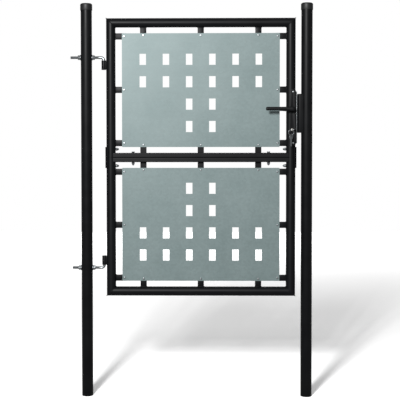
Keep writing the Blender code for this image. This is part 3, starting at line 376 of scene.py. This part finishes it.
def pick(kind, test):
    """Selects the faces or edges whose middle and direction pass a test."""
    bpy.ops.mesh.select_mode(type=kind)
    bpy.ops.mesh.select_all(action="DESELECT")
    mesh = bmesh.from_edit_mesh(bpy.context.object.data)
    for item in mesh.faces if kind == "FACE" else mesh.edges:
        if kind == "FACE":
            chosen = test(item.calc_center_median(), item.normal)
        else:
            ends = [v.co for v in item.verts]
            chosen = test((ends[0] + ends[1]) / 2, (ends[1] - ends[0]).normalized())
        if chosen:
            item.select_set(True)
    bmesh.update_edit_mesh(bpy.context.object.data)


def extrude(*move):
    """Extrudes what is selected and moves it."""
    bpy.ops.mesh.extrude_region_move(TRANSFORM_OT_translate={"value": move})


def resize_about(centre, *factors):
    """Scales what is selected about a point."""
    bpy.ops.transform.resize(value=factors, center_override=centre)


def bevel(width, segments=2):
    """Rounds the selected edges."""
    bpy.ops.mesh.bevel(offset=width, segments=segments, affect="EDGES", clamp_overlap=True)


def outward():
    """Merges doubles, then turns every face outwards."""
    bpy.ops.mesh.select_all(action="SELECT")
    bpy.ops.mesh.remove_doubles(threshold=1e-6)
    bpy.ops.mesh.normals_make_consistent(inside=False)


def apply_modifier(obj, kind, **settings):
    """Adds a modifier to a piece and applies it at once."""
    alone(obj)
    modifier = obj.modifiers.new(kind.title(), kind)
    for name, value in settings.items():
        setattr(modifier, name, value)
    bpy.ops.object.modifier_apply(modifier=modifier.name)


def settle(made, body, slot_name, *nodes):
    """Smooths a piece, gives it its finish, hangs it on the body it rides on and hides the CAD
    nodes it stands for.
    """
    alone(made)
    bpy.ops.object.transform_apply(location=True, rotation=True, scale=True)
    bpy.ops.object.shade_smooth_by_angle(angle=SMOOTH_ANGLE)
    made.data.materials.clear()
    made.data.materials.append(FINISHES[slot_name])
    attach(made, body)
    if nodes:
        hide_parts(*nodes)
    alone()


def copied(source, name, turn, shift=(0.0, 0.0, 0.0)):
    """A copy of a settled piece with its own mesh, turned and moved in the mesh itself."""
    made = bpy.data.objects.new(name, source.data.copy())
    bpy.context.scene.collection.objects.link(made)
    made.data.transform(Matrix.Translation(shift) @ turn)
    return made


# %% [markdown]
# ## Posts and caps
#
# Each post is a length of round fence tube, 48.3 mm across with a 2 mm wall, set in the ground.
# It could be a curve with a bevel, but a cylinder with its foot inset and pushed up inside shows
# the wall, as the cut end of a real tube does. The rim of the foot is slightly broken.

# %% Posts
POST_WALL = 2.0 * MM
ROUND_SIDES = 64
FOOT_BREAK = 0.3 * MM

for side in ("left", "right"):
    low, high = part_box(side + "_post")
    middle = (low + high) / 2
    radius, length = (high.x - low.x) / 2, high.z - low.z
    post = start("cylinder", side + "_post_tube", vertices=ROUND_SIDES, radius=radius,
                 depth=length, location=middle)
    pick("FACE", lambda at, facing: facing.z < -0.9)
    bpy.ops.mesh.inset(thickness=POST_WALL)
    extrude(0.0, 0.0, length - POST_WALL)
    pick("EDGE", lambda at, along: at.z < low.z + MM and abs(along.z) < 0.1)
    bevel(FOOT_BREAK)
    settle(post, "posts", "powder_coat", side + "_post")
    print(post.name, round(2 * radius, 5), "m across and", round(length, 4), "m long")

# %% [markdown]
# A cap is moulded plastic, pushed over the post: a short skirt, a crown with a rounded shoulder,
# and a low dome. It starts as a cylinder. The shoulder is a wide bevel, the dome is two insets
# lifted a little, and the skirt's inside is inset and pushed up, so that it is hollow.

# %% Caps
CAP_SHOULDER = 7.0 * MM
CAP_WALL = 1.4 * MM
CAP_CROWN = 4.0 * MM
CAP_RIM = 0.4 * MM
CAP_DOME_STEP = 6.0 * MM
CAP_DOME_LIFTS = (0.35 * MM, 0.15 * MM)

for side in ("left", "right"):
    low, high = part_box(side + "_cap")
    middle = (low + high) / 2
    radius, length = (high.x - low.x) / 2, high.z - low.z
    dome = sum(CAP_DOME_LIFTS)
    cap = start("cylinder", side + "_post_cap", vertices=ROUND_SIDES, radius=radius,
                depth=length - dome, location=middle - Vector((0.0, 0.0, dome / 2)))
    pick("EDGE", lambda at, along: at.z > high.z - MM and abs(along.z) < 0.1)
    bevel(CAP_SHOULDER, 6)
    pick("FACE", lambda at, facing: facing.z > 0.999)
    for lift in CAP_DOME_LIFTS:
        bpy.ops.mesh.inset(thickness=CAP_DOME_STEP)
        bpy.ops.transform.translate(value=(0.0, 0.0, lift))
    pick("FACE", lambda at, facing: facing.z < -0.9)
    bpy.ops.mesh.inset(thickness=CAP_WALL)
    extrude(0.0, 0.0, length - CAP_CROWN)
    pick("EDGE", lambda at, along: at.z < low.z + MM and abs(along.z) < 0.1)
    bevel(CAP_RIM)
    settle(cap, "posts", "cap_plastic", side + "_cap")
    print(cap.name, round(length, 4), "m high")

# %% [markdown]
# ## The frame of the leaf
#
# The leaf is two U-shaped frames of 40 mm tube, one above the other. Each corner is cut to a
# mitre and welded all round. A tube is a cylinder, and bisect cuts its ends: at 45 degrees where
# it meets another tube, and square where the upper frame stands on the lower one.

# %% Frame tubes
TUBE_RADIUS = 20.0 * MM
stile_low, stile_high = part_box("hinge_stile_upper")
HINGE_STILE_X = stile_low.x + TUBE_RADIUS
stile_low, stile_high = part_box("lock_stile_upper")
LOCK_STILE_X = stile_high.x - TUBE_RADIUS
rail_low, rail_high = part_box("top_rail")
TOP_RAIL_Z = rail_high.z - TUBE_RADIUS
LEAF_LEFT, LEAF_RIGHT = rail_low.x, rail_high.x
rail_low, rail_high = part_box("bottom_rail")
BOTTOM_RAIL_Z = rail_low.z + TUBE_RADIUS
LEAF_MID_Z = (TOP_RAIL_Z + BOTTOM_RAIL_Z) / 2
LEAF_MID_X = (LEAF_LEFT + LEAF_RIGHT) / 2
MITRE_GAP = 0.15 * MM
TAB_WIDTH, TAB_THICKNESS = 27.0 * MM, 3.0 * MM
TAB_OVERLAP = 18.0 * MM
TAB_ROOT = 17.0 * MM
TAB_BREAK = 0.5 * MM
BEAD_RADIUS = 1.9 * MM


def mitred_tube(name, along, start_point, end_point, cuts):
    """A tube between two points, longer than it must be, then cut by planes through points."""
    length = (end_point - start_point).length + 4 * TUBE_RADIUS
    turn = (0.0, pi / 2, 0.0) if along == "x" else (0.0, 0.0, 0.0)
    tube = start("cylinder", name, vertices=ROUND_SIDES, radius=TUBE_RADIUS, depth=length,
                 location=(start_point + end_point) / 2, rotation=turn)
    for point, kept in cuts:
        bpy.ops.mesh.select_all(action="SELECT")
        bpy.ops.mesh.bisect(plane_co=point, plane_no=kept, use_fill=True, clear_inner=True)
    outward()
    return tube


def corner_cut(x, z, toward_x, toward_z):
    """The mitre plane at a corner, seen from the tube that is kept on the side of a direction."""
    kept = Vector((toward_x, 0.0, toward_z)).normalized()
    return Vector((x, 0.0, z)) + MITRE_GAP * kept, kept


tubes = {}
for z, name, down in ((TOP_RAIL_Z, "top_rail", 1.0), (BOTTOM_RAIL_Z, "bottom_rail", -1.0)):
    tubes[name] = mitred_tube(
        name + "_tube", "x", Vector((HINGE_STILE_X, 0.0, z)), Vector((LOCK_STILE_X, 0.0, z)),
        [corner_cut(HINGE_STILE_X, z, 1.0, down), corner_cut(LOCK_STILE_X, z, -1.0, down)],
    )
for x, stile, inward in (
    (HINGE_STILE_X, "hinge_stile", 1.0), (LOCK_STILE_X, "lock_stile", -1.0),
):
    for z, half, up_or_down in (
        (TOP_RAIL_Z, "upper", 1.0), (BOTTOM_RAIL_Z, "lower", -1.0),
    ):
        box_low, box_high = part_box(stile + "_" + half)
        square_end = box_low.z if half == "upper" else box_high.z
        tubes[stile + "_" + half] = mitred_tube(
            stile + "_" + half + "_tube", "z", Vector((x, 0.0, LEAF_MID_Z)), Vector((x, 0.0, z)),
            [corner_cut(x, z, -inward, -up_or_down),
             (Vector((x, 0.0, square_end)), Vector((0.0, 0.0, up_or_down)))],
        )
print(len(tubes), "tubes of", 2 * TUBE_RADIUS, "m")

# %% [markdown]
# Short tabs of 3 mm flat bar are welded to the tubes, and the sheets are screwed to them. One
# tab is modelled and copied to its places. Its edges are slightly rounded where the paint builds
# up, and a weld bead runs along its root, front and back.

# %% Tabs and their welds
SCREW_INSET = 9.0 * MM
TAB_COLUMNS = (-0.248, 0.0, 0.248)
TAB_ROWS = (0.062, 0.292, 0.522)


def tab_with_beads(name, reach):
    """A tab that points along +X from a tube's axis at the origin, out to a reach."""
    tab = start("cube", name, size=1.0, location=((TAB_ROOT + reach) / 2, 0.0, 0.0),
                scale=(reach - TAB_ROOT, TAB_THICKNESS, TAB_WIDTH))
    bevel(TAB_BREAK)
    bead_x = sqrt(TUBE_RADIUS ** 2 - (TAB_THICKNESS / 2) ** 2)
    beads = []
    for face in (-1.0, 1.0):
        bead = start("cylinder", name + "_bead", vertices=12, radius=BEAD_RADIUS,
                     depth=TAB_WIDTH + 2 * BEAD_RADIUS,
                     location=(bead_x, face * TAB_THICKNESS / 2, 0.0))
        pick("EDGE", lambda at, along: abs(along.z) < 0.1)
        bevel(BEAD_RADIUS * 0.8, 3)
        beads.append(bead)
    alone(tab)
    for bead in beads:
        bead.select_set(True)
    bpy.ops.object.join()
    settle(tab, "leaf", "powder_coat")
    return tab


sheet_low, sheet_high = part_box("upper_panel")
SHEET_HALF_WIDTH = (sheet_high.x - sheet_low.x) / 2
side_reach = LEAF_MID_X - SHEET_HALF_WIDTH + TAB_OVERLAP - HINGE_STILE_X
end_reach = TOP_RAIL_Z - sheet_high.z + TAB_OVERLAP
side_tab = tab_with_beads("side_tab", side_reach)
end_tab = tab_with_beads("end_tab", end_reach)
tabs_of = {name: [] for name in tubes}
for half, level in ((1.0, "upper"), (-1.0, "lower")):
    for row, offset in enumerate(TAB_ROWS):
        z = LEAF_MID_Z + half * offset
        for x, stile, turn in (
            (HINGE_STILE_X, "hinge_stile_", 0.0), (LOCK_STILE_X, "lock_stile_", pi),
        ):
            tabs_of[stile + level].append(copied(
                side_tab, f"{stile}{level}_tab_{row + 1}", Matrix.Rotation(turn, 4, "Y"),
                (x, 0.0, z)))
for column, offset in enumerate(TAB_COLUMNS):
    for z, rail, turn in (
        (TOP_RAIL_Z, "top_rail", pi / 2), (BOTTOM_RAIL_Z, "bottom_rail", -pi / 2),
    ):
        tabs_of[rail].append(copied(
            end_tab, f"{rail}_tab_{column + 1}", Matrix.Rotation(turn, 4, "Y"),
            (LEAF_MID_X + offset, 0.0, z)))
alone()
for spare_part in (side_tab, end_tab):
    bpy.data.objects.remove(spare_part)
for name, tube in tubes.items():
    alone(tube)
    for tab in tabs_of[name]:
        tab.select_set(True)
    bpy.ops.object.join()
    settle(tube, "leaf", "powder_coat", name)
print(sum(len(tabs) for tabs in tabs_of.values()), "tabs welded on")

# %% [markdown]
# Each mitre is closed by a weld that runs right round it. On a tube cut at 45 degrees that path
# is an ellipse, so the bead is a thin torus, stretched along the mitre by the square root of two
# and turned into its plane. Every second ring is swelled a little, as the pool of a weld leaves it.

# %% Corner welds
WELD_RINGS = 72
WELD_RADIUS = 1.5 * MM
WELD_STAND = 0.2 * MM
WELD_SWELL, WELD_SHRINK = 1.12, 0.92


def corner_bead(name, x, z, lean):
    """A weld bead round the mitre at a corner; lean says which way the cut slopes."""
    bead = start("torus", name, major_radius=TUBE_RADIUS + WELD_STAND, minor_radius=WELD_RADIUS,
                 major_segments=WELD_RINGS, minor_segments=8)
    mesh = bmesh.from_edit_mesh(bead.data)
    for v in mesh.verts:
        turn = atan2(v.co.y, v.co.x)
        odd_ring = round(turn / (2 * pi) * WELD_RINGS) % 2
        centre = Vector((cos(turn), sin(turn), 0.0)) * (TUBE_RADIUS + WELD_STAND)
        v.co = centre + (v.co - centre) * (WELD_SWELL if odd_ring else WELD_SHRINK)
    bmesh.update_edit_mesh(bead.data)
    bpy.ops.mesh.select_all(action="SELECT")
    resize_about((0.0, 0.0, 0.0), sqrt(2.0), 1.0, 1.0)
    alone(bead)
    bead.data.transform(Matrix.Translation((x, 0.0, z)) @ Matrix.Rotation(lean * pi / 4, 4, "Y"))
    settle(bead, "leaf", "powder_coat")


for x, z, lean, name in (
    (HINGE_STILE_X, TOP_RAIL_Z, 1.0, "upper_hinge"),
    (LOCK_STILE_X, TOP_RAIL_Z, -1.0, "upper_lock"),
    (HINGE_STILE_X, BOTTOM_RAIL_Z, -1.0, "lower_hinge"),
    (LOCK_STILE_X, BOTTOM_RAIL_Z, 1.0, "lower_lock"),
):
    corner_bead(name + "_corner_weld", x, z, lean)
print("4 corner welds")

# %% [markdown]
# ## Pressed and cast pieces
#
# Plates, nuts, barrels and lock parts have the right shape in the CAD model, but real ones have
# no knife edges: pressing, tumbling and paint round them. Each is copied, its loose triangles are
# merged into whole faces, and its corners get a small bevel.

# %% Softened copies
def softened(name, node_name, body, width, segments=2):
    """Stands for a CAD node: the same shape with its sharp edges rounded."""
    alone()
    made = bpy.data.objects.new(name, frame["nodes"][node_name].data.copy())
    bpy.context.scene.collection.objects.link(made)
    alone(made)
    bpy.ops.object.mode_set(mode="EDIT")
    outward()
    bpy.ops.mesh.dissolve_limited(angle_limit=radians(0.5))
    alone(made)
    if made.data.attributes.get("sharp_edge"):
        made.data.attributes.remove(made.data.attributes["sharp_edge"])
    apply_modifier(made, "BEVEL", width=width, segments=segments, limit_method="ANGLE",
                   angle_limit=radians(38), use_clamp_overlap=True, loop_slide=False)
    settle(made, body, finish_of[node_name], node_name)


for node_name in bodies["leaf"]:
    if "nut" in node_name or node_name.startswith("mid_rail_bolt"):
        softened(node_name + "_zinc", node_name, "leaf", 0.35 * MM)
    elif "screw" in node_name or "escutcheon_bolt" in node_name:
        softened(node_name + "_head", node_name, "leaf", 0.2 * MM)
for node_name in bodies["posts"]:
    if "nut" in node_name:
        softened(node_name + "_zinc", node_name, "posts", 0.4 * MM)
    elif "screw" in node_name:
        softened(node_name + "_head", node_name, "posts", 0.2 * MM)
for name, node_name, body, width, segments in (
    ("hinge_side_splice_plate", "hinge_side_splice", "leaf", 0.8 * MM, 3),
    ("lock_side_splice_plate", "lock_side_splice", "leaf", 0.8 * MM, 3),
    ("upper_hinge_barrel", "upper_barrel", "leaf", 0.7 * MM, 3),
    ("lower_hinge_barrel", "lower_barrel", "leaf", 0.7 * MM, 3),
    ("lock_box", "lock_housing", "leaf", 0.9 * MM, 3),
    ("front_lock_plate", "front_escutcheon", "leaf", 0.8 * MM, 3),
    ("back_lock_plate", "back_escutcheon", "leaf", 0.8 * MM, 3),
    ("forend_plate", "forend", "leaf", 0.3 * MM, 2),
    ("lock_barrel_body", "cylinder_body", "leaf", 0.3 * MM, 2),
    ("keep_bracket", "keep", "posts", 0.7 * MM, 3),
    ("latch_bolt_nose", "latch_bolt", "latch", 0.5 * MM, 3),
    ("deadbolt_block", "deadbolt", "deadbolt", 0.6 * MM, 3),
    ("lock_plug", "cylinder_plug", "key", 0.25 * MM, 2),
    ("key_in_lock", "key", "key", 0.25 * MM, 2),
    ("spare_key_on_ring", "spare_key", "key_ring", 0.25 * MM, 2),
    ("split_ring", "key_ring", "key_ring", 0.1 * MM, 2),
):
    softened(name, node_name, body, width, segments)

# %% [markdown]
# ## Hinge hooks
#
# A hook is a 12 mm rod, threaded where it passes through the post, so that nuts on both sides
# set the gap, and bent at a right angle into a pin. One turn of thread is modelled, a ring that
# narrows and widens, and an array repeats it. The plain part is extruded on, spun round the bend
# and extruded again. A helix could be made with a screw, but at this size rings look the same.

# %% Threaded hooks
THREAD_PITCH = 1.75 * MM
THREAD_DEPTH = 0.9
ROD_RADIUS = 6.0 * MM
ROD_BEND = 12.0 * MM
ROD_SIDES = 24
THREAD_END_X = -0.425
LEAD_IN = 1.0 * MM
LEAD_TAPER = 0.82
PIN_CHAMFER = 0.8 * MM
NEAR = 0.1 * MM                        # how close counts as the same place when picking

for level, pin_way in (("upper", -1.0), ("lower", 1.0)):
    low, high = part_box(level + "_hinge_hook")
    rod_z = high.z - ROD_RADIUS if pin_way < 0 else low.z + ROD_RADIUS
    pin_end = low.z if pin_way < 0 else high.z
    pin_x = high.x - ROD_RADIUS
    rod = start("circle", level + "_threaded_hook", vertices=ROD_SIDES, radius=ROD_RADIUS,
                fill_type="NOTHING", location=(low.x + LEAD_IN, 0.0, rod_z),
                rotation=(0.0, pi / 2, 0.0))
    ring_centre = Vector((low.x + LEAD_IN, 0.0, rod_z))
    for part, factor in ((0.5, THREAD_DEPTH), (1.0, 1.0 / THREAD_DEPTH)):
        extrude(THREAD_PITCH / 2, 0.0, 0.0)
        resize_about(ring_centre + Vector((part * THREAD_PITCH, 0.0, 0.0)), 1.0, factor, factor)
    turns = int((THREAD_END_X - low.x) / THREAD_PITCH)
    apply_modifier(rod, "ARRAY", count=turns, use_relative_offset=False, use_constant_offset=True,
                   constant_offset_displace=(THREAD_PITCH, 0.0, 0.0), use_merge_vertices=True,
                   merge_threshold=1e-5)
    bpy.ops.object.mode_set(mode="EDIT")
    thread_end = low.x + LEAD_IN + turns * THREAD_PITCH
    bend_x = pin_x - ROD_BEND
    bend_z = rod_z + pin_way * ROD_BEND
    pick("EDGE", lambda at, along: at.x > thread_end - NEAR and abs(along.x) < 0.1)
    extrude(bend_x - thread_end, 0.0, 0.0)
    bpy.ops.mesh.spin(steps=8, angle=pin_way * pi / 2, axis=(0.0, 1.0, 0.0),
                      center=(bend_x, 0.0, bend_z))
    pick("EDGE", lambda at, along: at.x > bend_x + ROD_BEND / 3
         and abs(at.z - bend_z) < NEAR and abs(along.z) < 0.1)
    extrude(0.0, 0.0, pin_end - bend_z)
    pick("EDGE", lambda at, along: abs(at.z - pin_end) < NEAR and abs(along.z) < 0.1)
    bpy.ops.mesh.edge_face_add()
    pick("EDGE", lambda at, along: abs(at.z - pin_end) < NEAR and abs(along.z) < 0.1)
    bevel(PIN_CHAMFER)
    pick("EDGE", lambda at, along: at.x < low.x + LEAD_IN + NEAR and abs(along.x) < 0.1)
    extrude(-LEAD_IN, 0.0, 0.0)
    resize_about((low.x, 0.0, rod_z), 1.0, LEAD_TAPER, LEAD_TAPER)
    bpy.ops.mesh.edge_face_add()
    outward()
    settle(rod, "posts", "zinc_plate", level + "_hinge_hook")
    print(rod.name, turns, "turns of thread")

# %% [markdown]
# ## Sheet screws
#
# Each tab holds its sheet with a 5 mm screw: a low round head with a small recess in front, and
# a nut behind. The head is a cylinder whose front rim has a wide bevel, and the recess is an inset
# that is pushed in and narrowed. One screw is modelled and copied 24 times, each turned by a
# different angle, so that the nuts don't line up.

# %% Screws for the sheets
SCREW_RADIUS = 2.5 * MM
HEAD_RADIUS = 4.6 * MM
HEAD_HEIGHT = 2.4 * MM
NUT_RADIUS = 4.6 * MM
NUT_HEIGHT = 3.6 * MM
HEAD_ROUNDING = 1.6 * MM
RECESS_RIM = 1.0 * MM
RECESS_DEPTH = 1.3 * MM
RECESS_TAPER = 0.85
SCREW_TAIL = 1.5 * MM
SEAT_GAP = 0.1 * MM
FRONT_OF_SHEET = sheet_low.y
BACK_OF_TAB = TAB_THICKNESS / 2

head = start("cylinder", "sheet_screw", vertices=24, radius=HEAD_RADIUS, depth=HEAD_HEIGHT,
             location=(0.0, FRONT_OF_SHEET - SEAT_GAP - HEAD_HEIGHT / 2, 0.0),
             rotation=(pi / 2, 0.0, 0.0))
front = FRONT_OF_SHEET - SEAT_GAP - HEAD_HEIGHT
pick("EDGE", lambda at, along: at.y < front + NEAR and abs(along.y) < 0.1)
bevel(HEAD_ROUNDING, 4)
pick("FACE", lambda at, facing: facing.y < -0.999)
bpy.ops.mesh.inset(thickness=RECESS_RIM)
extrude(0.0, RECESS_DEPTH, 0.0)
bpy.ops.transform.resize(value=(RECESS_TAPER, 1.0, RECESS_TAPER))
pick("FACE", lambda at, facing: facing.y > 0.999 and at.y > FRONT_OF_SHEET - 2 * SEAT_GAP)
bpy.ops.mesh.inset(thickness=HEAD_RADIUS - SCREW_RADIUS)
extrude(0.0, BACK_OF_TAB + NUT_HEIGHT + SCREW_TAIL - FRONT_OF_SHEET, 0.0)
outward()
nut = start("cylinder", "sheet_nut", vertices=6, radius=NUT_RADIUS, depth=NUT_HEIGHT,
            location=(0.0, BACK_OF_TAB + SEAT_GAP + NUT_HEIGHT / 2, 0.0),
            rotation=(pi / 2, 0.0, 0.0))
pick("EDGE", lambda at, along: abs(along.y) < 0.1)
bevel(0.4 * MM)
alone(head)
nut.select_set(True)
bpy.ops.object.join()
settle(head, "leaf", "zinc_plate")

screw_places = []
for half in (1.0, -1.0):
    sheet_middle = LEAF_MID_Z + half * ((sheet_low.z + sheet_high.z) / 2 - LEAF_MID_Z)
    half_height = (sheet_high.z - sheet_low.z) / 2 - SCREW_INSET
    for offset in TAB_ROWS:
        for side in (-1.0, 1.0):
            screw_places.append((LEAF_MID_X + side * (SHEET_HALF_WIDTH - SCREW_INSET),
                                 LEAF_MID_Z + half * offset))
    for offset in TAB_COLUMNS:
        for end in (-1.0, 1.0):
            screw_places.append((LEAF_MID_X + offset, sheet_middle + end * half_height))
GOLDEN_TURN = 2.4
for number, (x, z) in enumerate(screw_places, 1):
    screw = copied(head, f"sheet_screw_{number:02d}",
                   Matrix.Rotation(GOLDEN_TURN * number, 4, "Y"), (x, 0.0, z))
    settle(screw, "leaf", "zinc_plate")
bpy.data.objects.remove(head)
print(len(screw_places), "sheet screws")

# %% [markdown]
# ## Levers
#
# The lever is cast and painted: a round neck leaves the lock plate, and a flat arm turns off it
# towards the middle of the gate, thinnest at its waist and fuller at its end. It is a box that is
# extruded in steps, each step scaled, and then a subdivision surface melts it into one soft form.
# The back lever is its mirror, so its faces are turned outwards again.

# %% Levers
low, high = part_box("front_lever")
spindle_low, spindle_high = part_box("spindle")
SPINDLE_X = (spindle_low.x + spindle_high.x) / 2
SPINDLE_Z = (spindle_low.z + spindle_high.z) / 2
ARM_THICKNESS = 11.0 * MM
HUB_DROP = 0.3 * MM
NECK_INSET = 1.4 * MM
NECK_TAPER = 0.93
NECK_RIM = 0.6 * MM
arm_front = low.y
neck_end = high.y
ARM_STEPS = (
    # share of the reach, middle height, half height, share of the thickness
    (0.10, -0.5 * MM, 10.0 * MM, 1.0),
    (0.22, 0.9 * MM, 8.6 * MM, 0.98),
    (0.48, 1.1 * MM, 7.9 * MM, 0.92),
    (0.76, 0.7 * MM, 8.3 * MM, 0.9),
    (0.93, 0.5 * MM, 8.6 * MM, 0.88),
    (1.0, 0.5 * MM, 8.2 * MM, 0.8),
)
reach = SPINDLE_X - low.x
hub = 10.4 * MM
lever = start("cube", "front_lever_arm", size=1.0,
              location=(SPINDLE_X, arm_front + ARM_THICKNESS / 2, SPINDLE_Z - HUB_DROP),
              scale=(2 * hub, ARM_THICKNESS, 2 * hub))
at_x, half_height, share = SPINDLE_X - hub, hub, 1.0
middle = SPINDLE_Z - HUB_DROP
for part, height, half, thickness in ARM_STEPS:
    pick("FACE", lambda at, facing: at.x < at_x + NEAR and facing.x < -0.9)
    new_x = SPINDLE_X - part * reach
    extrude(new_x - at_x, 0.0, SPINDLE_Z + height - middle)
    resize_about((new_x, arm_front + ARM_THICKNESS / 2, SPINDLE_Z + height),
                 1.0, thickness / share, half / half_height)
    at_x, middle, half_height, share = new_x, SPINDLE_Z + height, half, thickness
pick("FACE", lambda at, facing: facing.y > 0.9 and at.x > SPINDLE_X - hub)
half_neck = (neck_end - arm_front - ARM_THICKNESS) / 2
bpy.ops.mesh.inset(thickness=NECK_INSET)
extrude(0.0, half_neck, 0.0)
bpy.ops.transform.resize(value=(NECK_TAPER, 1.0, NECK_TAPER))
extrude(0.0, half_neck, 0.0)
bpy.ops.mesh.inset(thickness=NECK_RIM)
outward()
apply_modifier(lever, "SUBSURF", levels=3, render_levels=3)
back = copied(lever, "back_lever_arm", Matrix.Scale(-1.0, 4, (0.0, 1.0, 0.0)))
alone(back)
bpy.ops.object.mode_set(mode="EDIT")
outward()
settle(lever, "handle", "powder_coat", "front_lever")
settle(back, "handle", "powder_coat", "back_lever")
print("levers reach", round(reach, 4), "m from the spindle")
